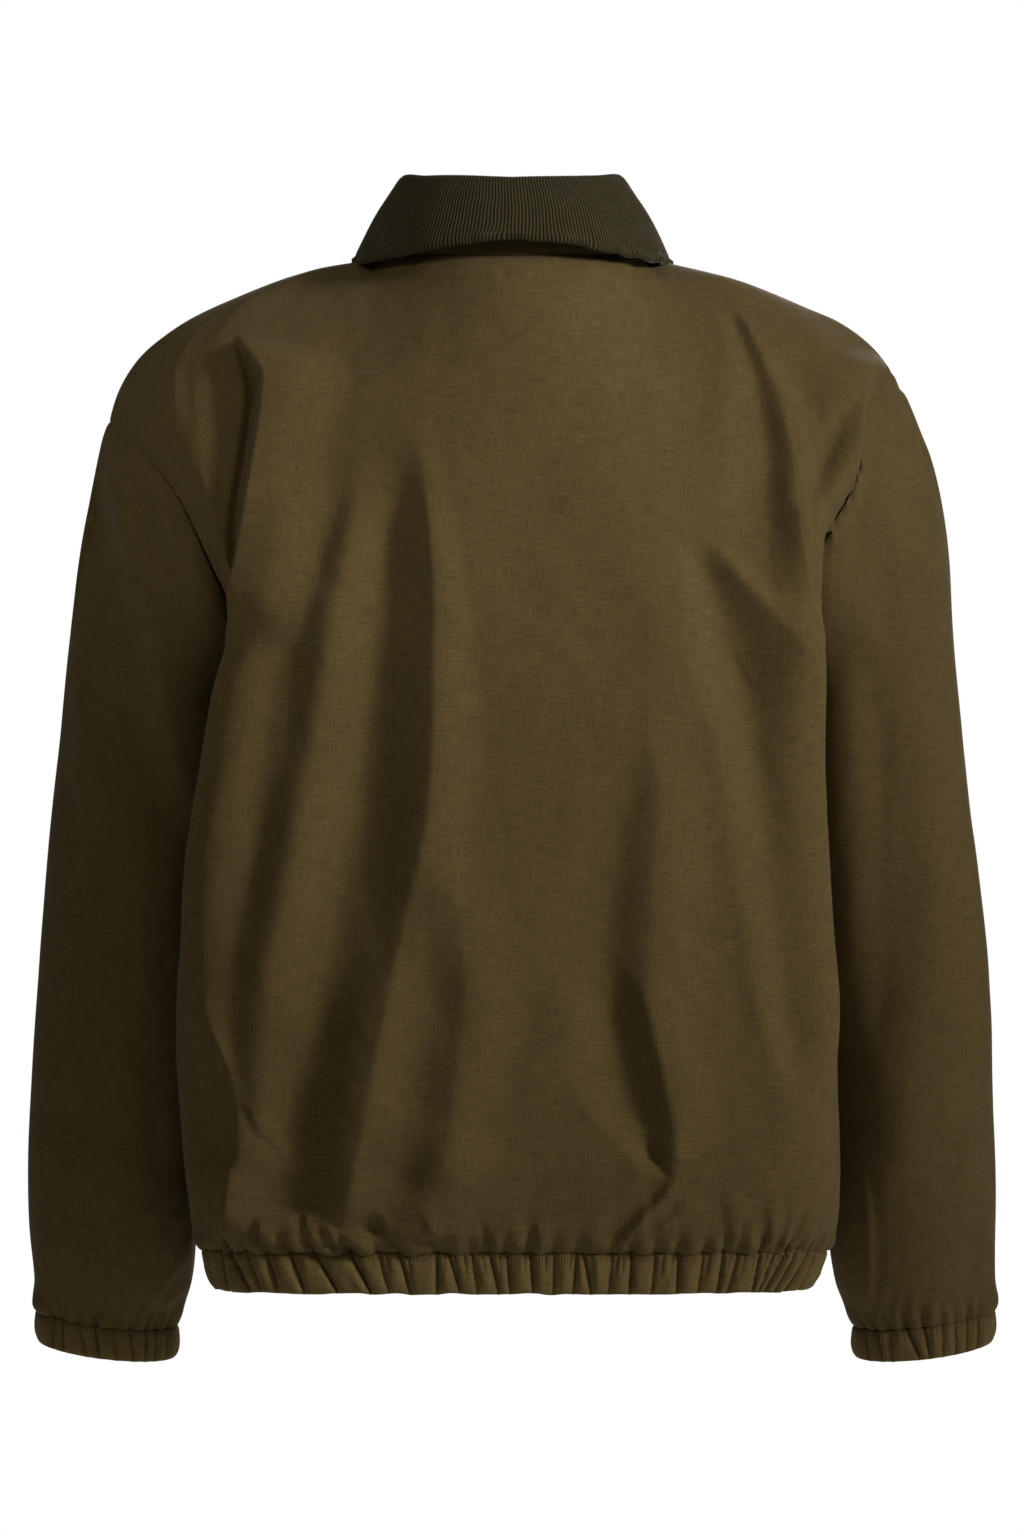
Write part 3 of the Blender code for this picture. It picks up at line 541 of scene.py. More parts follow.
@dataclass
class Gathers:
    """All grooves along one gathered seam, on the band below it and the cloth above it.

    total is the seam's length, puff the height of the puffs between the grooves, and boost how
    much deeper and fuller both are than their tables say. closed is for a seam right round.
    """

    grooves: list[Groove]
    total: float
    seed: int
    puff: float = 0.0018
    closed: bool = False
    boost: float = 1.4
    groove_width: float = 0.0012
    puff_width: float = 0.004
    scallop_height: float = 0.0013
    pucker_height: float = 0.003

    def _gaps(self, along_seam: Array, ends: Array) -> Array:
        """The signed distance from a groove's line, the short way round on a closed seam."""
        gap = along_seam - ends
        return (gap + self.total / 2) % self.total - self.total / 2 if self.closed else gap

    def band(self, place: Array, share: Array) -> Array:
        """The height of the band's puffs and grooves.

        Args:
            place: The place along the seam, in metres.
            share: How far down the band, from 0 at the seam to 1 at its foot.

        Returns:
            Heights in metres.
        """
        height = np.zeros_like(place)
        nearest = np.full_like(place, 1.0)
        for groove in self.grooves:
            gap = np.abs(self._gaps(place, groove.at + groove.lean * share))
            hold = 1.0 if groove.full else 1 - ease(share, 0.25, 0.65)
            height -= self.boost * groove.depth * np.exp(-gap / self.groove_width) * hold
            if groove.full:
                nearest = np.minimum(nearest, gap)
        swell = np.sin(math.pi * np.clip(0.12 + 0.8 * share, 0, 1))
        swell *= 0.75 + 0.5 * ripple(place / 0.009, share, self.seed)
        return height + self.boost * self.puff * (1 - bell(nearest, self.puff_width)) * swell

    def scallop(self, place: Array, reach: Array) -> Array:
        """How far the seam and the cloth near it rise and fall, by the distance from it."""
        waves = ripple(place / 0.0095, 0 * place, self.seed + 2)
        return self.scallop_height * waves * bell(reach, 0.006)

    def cloth(self, place: Array, above: Array, free: float = 1.0) -> Array:
        """The height of the puckers that rise from the seam into the cloth above it.

        Args:
            place: The place along the seam, in metres.
            above: The distance above it, in metres.
            free: How freely the cloth swells between them, from 0 to 1.

        Returns:
            Heights in metres.
        """
        height = np.zeros_like(place)
        nearest = np.full_like(place, 1.0)
        for groove in self.grooves:
            gap = np.abs(self._gaps(place, groove.at + groove.drift * above))
            width = 0.0017 + 0.11 * above
            fade = np.exp(-((above / (1.3 * groove.rise)) ** 1.4))
            height -= self.boost * groove.depth * np.exp(-((gap / width) ** 1.25)) * fade
            if groove.full:
                nearest = np.minimum(nearest, gap)
        swell = bell(above - 0.006, 0.009)
        swell *= 0.7 + 0.6 * ripple(place / 0.011, above / 0.02, self.seed + 1)
        return height + free * self.pucker_height * (1 - bell(nearest, 0.005)) * swell


# ---- the jacket's form


@dataclass(frozen=True)
class Table:
    """Named columns of sizes, read smoothly by their first column."""

    columns: tuple[str, ...]
    rows: tuple[tuple[float, ...], ...]

    def read(self, name: str, at: Array | float) -> Array:
        """One named column at the given knots."""
        cells = np.asarray(self.rows)
        return smooth(at, cells[:, 0], cells[:, self.columns.index(name)])


@dataclass(frozen=True)
class Trunk:
    """The body's form: its sections by height, its neck, shoulder seams and armholes."""

    underarm: float = -0.262
    hem_seam: float = -0.65
    hem_foot: float = -0.675
    zip_half_width: float = 0.0035
    neck_side_angle: float = 85.0
    neck_share: float = 0.38
    widest_share: float = 0.8
    front_flat: float = 0.62
    back_flat: float = 0.78
    blade_depth: float = 0.92
    side_turn: float = 0.022
    seam_turn: Point = (0.002, -0.072, 0.045)
    fullness: float = 0.05
    back_fullness: float = 0.011
    neck_flat: float = 0.028
    back_spread: float = 10.5
    front_spread: float = 8.0
    sizes: Table = Table(
        ("height", "back", "wide_left", "wide_right", "wide_y", "seam_x", "seam_y", "front"),
        (
            (-0.262, 0.123, 0.188, 0.194, 0.062, 0.169, -0.01, 0.126),
            (-0.3, 0.1235, 0.1935, 0.197, 0.058, 0.1735, -0.012, 0.1275),
            (-0.34, 0.1225, 0.1995, 0.199, 0.056, 0.1815, -0.014, 0.128),
            (-0.39, 0.121, 0.207, 0.202, 0.055, 0.187, -0.016, 0.127),
            (-0.45, 0.121, 0.214, 0.206, 0.055, 0.1925, -0.018, 0.1265),
            (-0.51, 0.1235, 0.218, 0.21, 0.055, 0.197, -0.019, 0.128),
            (-0.56, 0.126, 0.216, 0.212, 0.055, 0.2, -0.02, 0.1295),
            (-0.605, 0.1265, 0.213, 0.2125, 0.054, 0.201, -0.02, 0.1295),
            (-0.635, 0.1215, 0.2075, 0.2105, 0.052, 0.1985, -0.019, 0.1245),
            (-0.65, 0.113, 0.202, 0.2055, 0.05, 0.195, -0.018, 0.116),
            (-0.675, 0.11, 0.1945, 0.1955, 0.048, 0.1875, -0.017, 0.113),
        ),
    )
    neck: Table = Table(
        ("angle", "seam_height", "stand_height", "lean"),
        (
            (0.0, -0.0045, 0.0505, 0.01), (45.0, -0.003, 0.0515, 0.014),
            (85.0, -0.0015, 0.0508, 0.0178), (120.0, -0.018, 0.044, 0.014),
            (150.0, -0.048, 0.032, 0.007), (180.0, -0.072, 0.023, 0.002),
        ),
    )
    neck_half_width: float = 0.09
    neck_half_depth: float = 0.079
    neck_middle_y: float = -0.009

    SHOULDERS: ClassVar[dict[Side, tuple[Point, ...]]] = {
        Side.LEFT: (
            (0.0897, -0.002, -0.0015), (0.128, 0.0, -0.0092), (0.1764, 0.001, -0.0256),
            (0.2263, 0.0, -0.0506), (0.2454, -0.001, -0.067), (0.2592, -0.003, -0.0887),
            (0.2658, -0.004, -0.1097),
        ),
        Side.RIGHT: (
            (0.0897, -0.002, -0.0015), (0.128, 0.0, -0.011), (0.1521, 0.0, -0.0177),
            (0.1895, 0.0, -0.0322), (0.2185, 0.0, -0.0453), (0.2408, -0.001, -0.0637),
            (0.25, -0.002, -0.0765),
        ),
    }
    ARMHOLES: ClassVar[dict[tuple[Side, Face], tuple[Point, ...]]] = {
        (Side.LEFT, Face.BACK): (
            (0.2658, -0.004, -0.1097), (0.2434, 0.04, -0.1288), (0.2184, 0.062, -0.1597),
            (0.196, 0.064, -0.2043), (0.178, 0.036, -0.243), (0.169, -0.01, -0.262),
        ),
        (Side.RIGHT, Face.BACK): (
            (0.25, -0.002, -0.0765), (0.2335, 0.042, -0.1), (0.2234, 0.063, -0.151),
            (0.197, 0.064, -0.1985), (0.179, 0.036, -0.243), (0.169, -0.01, -0.262),
        ),
        (Side.LEFT, Face.FRONT): (
            (0.2658, -0.004, -0.1097), (0.245, -0.046, -0.128), (0.213, -0.078, -0.162),
            (0.187, -0.088, -0.206), (0.173, -0.06, -0.244), (0.169, -0.01, -0.262),
        ),
        (Side.RIGHT, Face.FRONT): (
            (0.25, -0.002, -0.0765), (0.236, -0.046, -0.102), (0.215, -0.078, -0.15),
            (0.188, -0.088, -0.203), (0.173, -0.06, -0.244), (0.169, -0.01, -0.262),
        ),
    }

    def section(self, side: Side, face: Face, share: Array, height: float) -> Array:
        """Points of a panel at one height.

        Args:
            side: The wearer's side.
            face: Back or front.
            share: The columns, from the middle (0) round to the side seam (1).
            height: The height.

        Returns:
            One point for each share.
        """
        seam = np.array([self.sizes.read("seam_x", height), self.sizes.read("seam_y", height)])
        across, ahead, behind = self.seam_turn
        if face is Face.FRONT:
            front = -self.sizes.read("front", height)
            ahead_of_seam = np.array([across, ahead])
            flat = bezier(
                np.array([self.zip_half_width, front]),
                np.array([self.front_flat * seam[0], front]), seam + ahead_of_seam, seam, share,
            )
        else:
            back = self.sizes.read("back", height)
            wide = self.sizes.read("wide_" + side.value, height)
            wide_y = self.sizes.read("wide_y", height)
            widest = np.array([wide, wide_y])
            inner = bezier(
                np.array([0.0, back]), np.array([self.back_flat * wide, back]),
                np.array([wide, wide_y + self.blade_depth * (back - wide_y)]), widest,
                np.clip(share / self.widest_share, 0, 1),
            )
            outer = bezier(
                widest, np.array([wide, wide_y - self.side_turn]),
                seam + np.array([0.0, behind]), seam,
                np.clip((share - self.widest_share) / (1 - self.widest_share), 0, 1),
            )
            flat = np.where(np.asarray(share)[..., None] < self.widest_share, inner, outer)
        heights = np.full(flat.shape[:-1], height)
        return np.stack([side.sign * flat[..., 0], flat[..., 1], heights], axis=-1)

    def neck_point(self, angle: Array, sign: float | Array) -> Array:
        """Points of the neck seam, by the angle in degrees from the middle of the back."""
        turn = np.radians(angle)
        across = sign * self.neck_half_width * np.sin(turn)
        deep = self.neck_middle_y + self.neck_half_depth * np.cos(turn)
        return np.stack([across, deep, self.neck.read("seam_height", angle)], axis=-1)

    @property
    def neck_front_angle(self) -> float:
        """The angle of the neck seam's front ends, beside the zip."""
        return 180.0 - math.degrees(math.asin(self.zip_half_width / self.neck_half_width))

    def armhole(self, side: Side, face: Face, share: Array | float) -> Array:
        """Points of the armhole seam from the shoulder tip (0) to the underarm (1)."""
        return along(self.ARMHOLES[side, face], share) * np.array([side.sign, 1, 1])

    def top_edge(self, side: Side, face: Face, share: Array) -> Array:
        """Points of a panel's top edge: the neck seam and then the shoulder seam.

        Args:
            side: The wearer's side.
            face: Back or front.
            share: The columns, from the middle (0) to the shoulder tip (1).

        Returns:
            One point for each share.
        """
        part = np.clip(share / self.neck_share, 0, 1)
        if face is Face.BACK:
            angle = self.neck_side_angle * part
        else:
            angle = self.neck_front_angle + (self.neck_side_angle - self.neck_front_angle) * part
        neck = self.neck_point(angle, side.sign)
        rest = np.clip((share - self.neck_share) / (1 - self.neck_share), 0, 1)
        shoulder = along(self.SHOULDERS[side], rest) * np.array([side.sign, 1, 1])
        return np.where(share[:, None] <= self.neck_share, neck, shoulder)

    def panel(self, side: Side, face: Face, share: Array, downs: Array, heights: Array) -> Array:
        """A panel's points from its top edge to the hem seam.

        Args:
            side: The wearer's side.
            face: Back or front.
            share: The columns, from the middle (0) to the side (1).
            downs: The rows above the underarm, from the top edge (0) to the underarm (1).
            heights: The rows below it, by height.

        Returns:
            Rows of points.
        """
        slope_step = 0.01
        top = self.top_edge(side, face, share)
        foot = self.section(side, face, share, self.underarm)
        lower = self.section(side, face, share, self.underarm - slope_step)
        near_neck = 1 - ease(share, 0.7 * self.neck_share, 1.35 * self.neck_share)
        fullness = self.back_fullness if face is Face.BACK else 0.0
        deep = face.sign * (self.fullness + fullness - self.neck_flat * near_neck)
        drop = -0.004 - (0.022 if face is Face.BACK else 0.034) * near_neck
        leaving = top + np.stack([0 * deep, deep, drop], axis=-1)
        spread = self.back_spread if face is Face.BACK else self.front_spread
        arriving = foot + (foot - lower) * spread
        hold = ease(share, 0.55, 1.0)[:, None]
        rows = []
        for down in downs:
            row = bezier(top, leaving, arriving, foot, np.full(len(share), down))
            rows.append(row + hold * (self.armhole(side, face, down) - row[-1]))
        rows += [self.section(side, face, share, height) for height in heights]
        return np.array(rows)

    def ring(self, height: float, back: Array, front: Array) -> Array:
        """The section right round, from the front's left edge by the back to its right edge."""
        left = [self.section(Side.LEFT, Face.FRONT, front, height),
                self.section(Side.LEFT, Face.BACK, back[-2::-1], height)]
        right = [self.section(Side.RIGHT, Face.BACK, back[1:], height),
                 self.section(Side.RIGHT, Face.FRONT, front[-2::-1], height)]
        return np.concatenate(left + right)


@dataclass(frozen=True)
class SleeveForm:
    """A sleeve's form: the cap that leaves the armhole, the arm, and the wrist."""

    trunk: Trunk
    arm_top: float = -0.305
    cuff_seam: float = -0.7
    cuff_height: float = 0.0205
    tilt_heights: Pair = (0.6, 0.7)
    wrist_rise: float = 0.115
    wrist_drop: float = 0.15
    left_lean: float = 0.26
    right_lean: float = 0.52
    sizes: Table = Table(
        ("height", "outer_left", "outer_right", "width", "middle_y", "depth"),
        (
            (-0.305, 0.2985, 0.2955, 0.115, -0.034, 0.122),
            (-0.36, 0.3047, 0.3015, 0.115, -0.034, 0.119),
            (-0.42, 0.3096, 0.3081, 0.114, -0.035, 0.116),
            (-0.48, 0.3138, 0.3136, 0.114, -0.036, 0.112),
            (-0.54, 0.3178, 0.317, 0.113, -0.037, 0.108),
            (-0.6, 0.3204, 0.3194, 0.112, -0.039, 0.104),
            (-0.64, 0.3197, 0.3202, 0.111, -0.04, 0.099),
            (-0.672, 0.3173, 0.32, 0.106, -0.041, 0.09),
            (-0.7, 0.315, 0.3197, 0.094, -0.042, 0.074),
            (-0.7205, 0.3145, 0.319, 0.0925, -0.043, 0.072),
        ),
    )

    def ring(self, side: Side, height: float, count: int) -> Array:
        """A ring round from the outer side by the back, the inner side and the front.

        Args:
            side: The wearer's side.
            height: The ring's height.
            count: How many points it has.

        Returns:
            The ring's points.
        """
        turn = TURN * np.arange(count) / count
        outer = self.sizes.read("outer_" + side.value, height)
        width = self.sizes.read("width", height)
        across = width / 2 * np.cos(turn)
        deep = self.sizes.read("depth", height) / 2 * np.sin(turn)
        tilt = ease(-height, *self.tilt_heights)
        heights = height + tilt * (self.wrist_rise * across - self.wrist_drop * deep)
        sideways = side.sign * (outer - width / 2 + across)
        return np.stack([sideways, self.sizes.read("middle_y", height) + deep, heights], axis=-1)

    def points(self, side: Side, count: int, caps: Array, heights: Array) -> Array:
        """Rows of rings from the armhole to the cuff seam.

        Args:
            side: The wearer's side.
            count: Points in each ring.
            caps: The cap's rows, from the armhole (0) to the top of the arm (1).
            heights: The arm's rows, by height.

        Returns:
            Rows of points.
        """
        downs = np.linspace(0, 1, count // 2 + 1)
        behind = self.trunk.armhole(side, Face.BACK, downs)
        ahead = self.trunk.armhole(side, Face.FRONT, downs)
        start = np.concatenate([behind, ahead[-2:0:-1]])
        end = self.ring(side, self.arm_top, count)
        length = np.linalg.norm(end - start, axis=1)[:, None]
        lean = self.left_lean if side is Side.LEFT else self.right_lean
        leaving = start + length / 3 * unit(np.array([lean * side.sign, -0.06, -1.0]))
        arriving = end + length / 3 * np.array([-0.12 * side.sign, 0.0, 1.0])
        rows = [bezier(start, leaving, arriving, end, np.full(len(start), cap)) for cap in caps]
        rows += [self.ring(side, height, count) for height in heights]
        return np.array(rows)


# ---- finishes


@dataclass
class Nodes:
    """A short way to write a material's nodes."""

    material: Material

    @classmethod
    def start(cls, name: str) -> "Nodes":
        """A new material with only its output and shader."""
        material = bpy.data.materials.new(name)
        material.use_nodes = True
        return cls(material)

    @property
    def tree(self) -> bpy.types.NodeTree:
        """The material's node tree."""
        return self.material.node_tree

    @property
    def shader(self) -> bpy.types.Node:
        """The material's Principled shader."""
        return self.tree.nodes["Principled BSDF"]

    def add(self, kind: str, inputs: dict[str | int, object], **options: object) -> bpy.types.Node:
        """Adds a node.

        Args:
            kind: Its Blender type.
            inputs: Values or linked sockets, by the input's name or number.
            **options: The node's own settings.

        Returns:
            The node.
        """
        node = self.tree.nodes.new(kind)
        for option, value in options.items():
            setattr(node, option, value)
        for key, value in inputs.items():
            if isinstance(value, Socket):
                self.tree.links.new(value, node.inputs[key])
            else:
                node.inputs[key].default_value = value
        return node

    def math(self, operation: str, *values: object) -> Socket:
        """The result of a Math node on numbers or sockets."""
        inputs = dict(enumerate(values))
        return self.add("ShaderNodeMath", inputs, operation=operation).outputs[0]

    def plus(self, first: object, second: object) -> Socket:
        """The sum of two values."""
        return self.math("ADD", first, second)

    def less(self, first: object, second: object) -> Socket:
        """The first value less the second."""
        return self.math("SUBTRACT", first, second)

    def times(self, first: object, second: object) -> Socket:
        """The product of two values."""
        return self.math("MULTIPLY", first, second)

    def wave(self, operation: str, value: object, pitch: float) -> Socket:
        """A sine or cosine of a distance, one turn for each pitch."""
        return self.math(operation, self.times(value, TURN / pitch))

    def band(self, value: object, low: float, high: float) -> Socket:
        """A soft step of a value from 0 at low to 1 at high."""
        inputs = {"Value": value, "From Min": low, "From Max": high}
        node = self.add("ShaderNodeMapRange", inputs, interpolation_type="SMOOTHSTEP")
        return node.outputs["Result"]

    def stretch(self, value: object, low: float, high: float) -> Socket:
        """A value from 0 to 1 laid out straight from low to high."""
        inputs = {"Value": value, "To Min": low, "To Max": high}
        return self.add("ShaderNodeMapRange", inputs).outputs["Result"]

    def cloth(self) -> tuple[Socket, Socket, Socket]:
        """The place on the flat cloth: as a vector, and its two numbers in metres."""
        place = self.add("ShaderNodeUVMap", {}, uv_map="cloth").outputs["UV"]
        parts = self.add("ShaderNodeSeparateXYZ", {0: place})
        return place, parts.outputs["X"], parts.outputs["Y"]

    def noise(
        self, place: object, across: float, down: float, seed: float, detail: float = 1.0
    ) -> Socket:
        """Noise on the cloth, in spots of the given sizes in millimetres."""
        scale = (1 / (across * MM), 1 / (down * MM), 1.0)
        inputs = {"Vector": place, "Location": (seed * 7.31, seed * 3.17, seed), "Scale": scale}
        moved = self.add("ShaderNodeMapping", inputs).outputs["Vector"]
        made = self.add("ShaderNodeTexNoise", {"Vector": moved, "Scale": 1.0, "Detail": detail})
        return made.outputs["Fac"]

    def mix(self, share: object, first: object, second: object) -> Socket:
        """A colour between two, by a share."""
        inputs = {0: share, 6: first, 7: second}
        return self.add("ShaderNodeMix", inputs, data_type="RGBA").outputs[2]

    def tint(self, colour: object, factor: object) -> Socket:
        """A colour made lighter or darker by a factor."""
        grey = self.add("ShaderNodeCombineXYZ", {0: factor, 1: factor, 2: factor}).outputs[0]
        inputs = {0: 1.0, 6: colour, 7: grey}
        return self.add("ShaderNodeMix", inputs, data_type="RGBA", blend_type="MULTIPLY").outputs[2]

    def bump(self, height: object, distance: float, strength: float = 1.0) -> None:
        """Raises the surface by a height of 0 to 1 over a distance in metres."""
        inputs = {"Height": height, "Distance": distance, "Strength": strength}
        bumped = self.add("ShaderNodeBump", inputs).outputs["Normal"]
        self.tree.links.new(bumped, self.shader.inputs["Normal"])

    def finish(
        self, colour: object, roughness: object, sheen: float, **constants: float
    ) -> Material:
        """Finishes the shader.

        Args:
            colour: Its base colour, or a socket.
            roughness: Its roughness, or a socket.
            sheen: Its sheen weight.
            **constants: Other inputs that are the same all over, by name.

        Returns:
            The material.
        """
        for name, value in (("Base Color", colour), ("Roughness", roughness)):
            if isinstance(value, Socket):
                self.tree.links.new(value, self.shader.inputs[name])
            else:
                self.shader.inputs[name].default_value = value
        self.shader.inputs["Sheen Weight"].default_value = sheen
        for name, value in constants.items():
            self.shader.inputs[name.replace("_", " ")].default_value = value
        return self.material


@dataclass(frozen=True)
class SlubCotton:
    """A plain weave of uneven yarns, washed soft, with or without shirring under a band's seam.

    yarn and slub are (length, width) of a yarn's shade and of a thick or thin place in it, and
    cloud and wear are the spots of dye and of wear, all in millimetres. A band's cloth is
    painted lighter than the same cloth on the body by its tone factor: painted light that makes
    up for the shade its gathers and the cloth above cast on it. Its shirring ticks get painted
    shade in their creases.
    """

    name: str = "slub_cotton"
    colour: Point = (0.104, 0.0685, 0.0235)
    dark: Point = (0.08, 0.056, 0.0195)
    shirred_with_painted_light: bool = False
    yarn: Pair = (14.0, 0.55)
    slub: Pair = (13.0, 0.7)
    cloud: Pair = (26.0, 40.0)
    wear: Pair = (5.0, 7.0)
    slub_steps: Pair = (0.57, 0.68)
    painted_band_lightening: float = 1.3
    tick_pitch: float = 0.0018
    relief: float = 0.00022

    def build(self) -> Material:
        """Makes the material."""
        nodes = Nodes.start(self.name)
        place, over, down = nodes.cloth()
        warp = nodes.noise(place, *self.yarn[::-1], 1.0)
        weft = nodes.noise(place, *self.yarn, 2.0)
        thick = nodes.band(nodes.noise(place, *self.slub, 3.0), *self.slub_steps)
        thin = nodes.band(nodes.noise(place, *self.slub[::-1], 4.0), *self.slub_steps)
        cloud = nodes.noise(place, *self.cloud, 5.0, 3.0)
        wear = nodes.noise(place, *self.wear, 6.0, 2.0)
        base = nodes.mix(nodes.band(cloud, 0.3, 0.72), (*self.dark, 1), (*self.colour, 1))
        base = nodes.mix(0.65, base, (*self.colour, 1))
        tone = nodes.plus(nodes.stretch(warp, 0.11, 0.89), nodes.stretch(weft, 0.04, 0.96))
        tone = nodes.plus(tone, nodes.times(thick, 0.17))
        tone = nodes.less(tone, nodes.times(thin, 0.11))
        tone = nodes.times(tone, nodes.stretch(wear, 0.96, 1.04))
        height = nodes.plus(nodes.times(warp, 0.5), nodes.times(weft, 0.5))
        height = nodes.plus(height, nodes.times(thick, 0.5))
        height = nodes.plus(height, nodes.times(wear, 0.15))
        if self.shirred_with_painted_light:
            # Painted light: the band's colour is made lighter than the body's, though it is the
            # same cloth, to make up for the shade that falls on it.
            tone = nodes.times(tone, self.painted_band_lightening)
            ticks = self._ticks(nodes, place, over, down)
            # Painted shade: the colour is darkened along each shirring tick, in its crease.
            tone = nodes.times(tone, nodes.less(1.0, nodes.times(ticks, 0.3)))
            height = nodes.less(height, nodes.times(ticks, 1.6))
        nodes.bump(height, self.relief, 0.8)
        rough = nodes.stretch(wear, 0.8, 0.94)
        colour = nodes.tint(base, tone)
        return nodes.finish(colour, rough, 0.04, Sheen_Roughness=0.5, Specular_IOR_Level=0.12)

    def _ticks(self, nodes: Nodes, place: object, over: object, down: object) -> Socket:
        """The fine shirring just under a band's seam, which gives both its relief and the painted
        shade in its creases.

        Args:
            nodes: The material's nodes.
            place: The place on the cloth.
            over: Its distance along the seam.
            down: Its distance below the seam.

        Returns:
            1 in a tick and 0 beside it.
        """
        wander = nodes.times(nodes.noise(place, 4.0, 6.0, 9.0), 0.0022)
        turns = nodes.wave("SINE", nodes.plus(over, wander), self.tick_pitch)
        wave = nodes.plus(nodes.times(turns, 0.5), 0.5)
        fade = nodes.less(1.0, nodes.band(down, 0.0022, 0.0062))
        return nodes.times(nodes.math("POWER", wave, 2.0), fade)


@dataclass(frozen=True)
class Needlecord:
    """Fine corduroy: rounded wales of brushed pile, with painted shade in the channels between
    them, and lighter wale tips that are partly the pile's own and partly painted highlight.
    """

    pitch: float = 0.0022
    name: str = "needlecord"
    # The tips' colour is partly the pile's own lighter tips and partly a painted highlight on the
    # wale crests.
    tips_and_highlight: Point = (0.088, 0.07, 0.026)
    pile: Point = (0.042, 0.033, 0.0105)
    # The channel colour is painted shade in the grooves between the wales.
    channel_painted_shade: Point = (0.007, 0.006, 0.003)

    def build(self) -> Material:
        """Makes the material."""
        nodes = Nodes.start(self.name)
        place, over, _ = nodes.cloth()
        wave = nodes.plus(nodes.times(nodes.wave("COSINE", over, self.pitch), 0.5), 0.5)
        nap = nodes.noise(place, 0.7, 2.6, 1.0, 2.0)
        fuzz = nodes.noise(place, 0.35, 0.35, 2.0, 2.0)
        brushed = nodes.noise(place, 14.0, 9.0, 3.0, 2.0)
        rise = nodes.plus(wave, nodes.stretch(nap, -0.28, 0.28))
        # Painted shade: the channels between the wales are coloured nearly black.
        colour = nodes.mix(nodes.band(rise, 0.12, 0.52), (*self.channel_painted_shade, 1), (*self.pile, 1))
        # Lighter wale tips: partly the pile's own lighter tips, partly a painted highlight on the
        # crests.
        tips_and_highlight = nodes.times(nodes.band(rise, 0.7, 1.15), nodes.stretch(fuzz, 0.3, 1.0))
        colour = nodes.mix(tips_and_highlight, colour, (*self.tips_and_highlight, 1))
        colour = nodes.tint(colour, nodes.stretch(brushed, 0.72, 1.25))
        height = nodes.plus(nodes.times(nap, 0.6), nodes.times(fuzz, 0.5))
        nodes.bump(height, 0.0003, 0.7)
        return nodes.finish(colour, 0.95, 0.12, Sheen_Roughness=0.45, Specular_IOR_Level=0.1)


@dataclass(frozen=True)
class RibTape:
    """The zip's tape: a close rib weave, ribbed across its length."""

    name: str = "zip_tape_weave"
    colour: Point = (0.036, 0.027, 0.014)
    rib_pitch: float = 0.0009
    cord_pitch: float = 0.0016

    def build(self) -> Material:
        """Makes the material."""
        nodes = Nodes.start(self.name)
        place, over, down = nodes.cloth()
        ribs = nodes.wave("SINE", down, self.rib_pitch)
        cords = nodes.wave("SINE", over, self.cord_pitch)
        yarn = nodes.noise(place, 0.8, 0.8, 1.0)
        height = nodes.plus(nodes.times(ribs, 0.35), nodes.times(cords, 0.25))
        height = nodes.plus(height, yarn)
        nodes.bump(height, 0.0002)
        # Painted shade: the tape's colour follows its relief, darker in the hollows between ribs
        # and cords, with the yarn's own unevenness mixed in.
        tone = nodes.stretch(height, 0.75, 1.2)
        return nodes.finish(nodes.tint((*self.colour, 1), tone), 0.82, 0.1, Specular_IOR_Level=0.3)


@dataclass(frozen=True)
class Thread:
    """Sewing thread a little lighter than the cloth it sews."""

    name: str = "thread"
    colour: Point = (0.112, 0.08, 0.034)

    def build(self) -> Material:
        """Makes the material."""
        nodes = Nodes.start(self.name)
        place = nodes.add("ShaderNodeTexCoord", {}).outputs["Object"]
        twist = nodes.noise(place, 0.5, 0.5, 1.0)
        nodes.bump(twist, 0.0001)
        colour = nodes.tint((*self.colour, 1), nodes.stretch(twist, 0.75, 1.2))
        return nodes.finish(colour, 0.6, 0.1, Specular_IOR_Level=0.4)


@dataclass(frozen=True)
class AgedBrass:
    """Brass dulled in spots, with fine handling marks."""

    name: str = "aged_brass"
    colour: Point = (0.27, 0.19, 0.085)
    tarnish: Point = (0.1, 0.068, 0.032)

    def build(self) -> Material:
        """Makes the material."""
        nodes = Nodes.start(self.name)
        place = nodes.add("ShaderNodeTexCoord", {}).outputs["Object"]
        spots = nodes.noise(place, 3.0, 3.0, 1.0, 4.0)
        marks = nodes.noise(place, 0.25, 2.5, 2.0, 2.0)
        colour = nodes.mix(nodes.band(spots, 0.4, 0.62), (*self.tarnish, 1), (*self.colour, 1))
        rough = nodes.stretch(marks, 0.28, 0.52)
        nodes.bump(marks, 0.00004, 0.5)
        return nodes.finish(colour, rough, 0.0, Metallic=1.0)


# ---- pieces


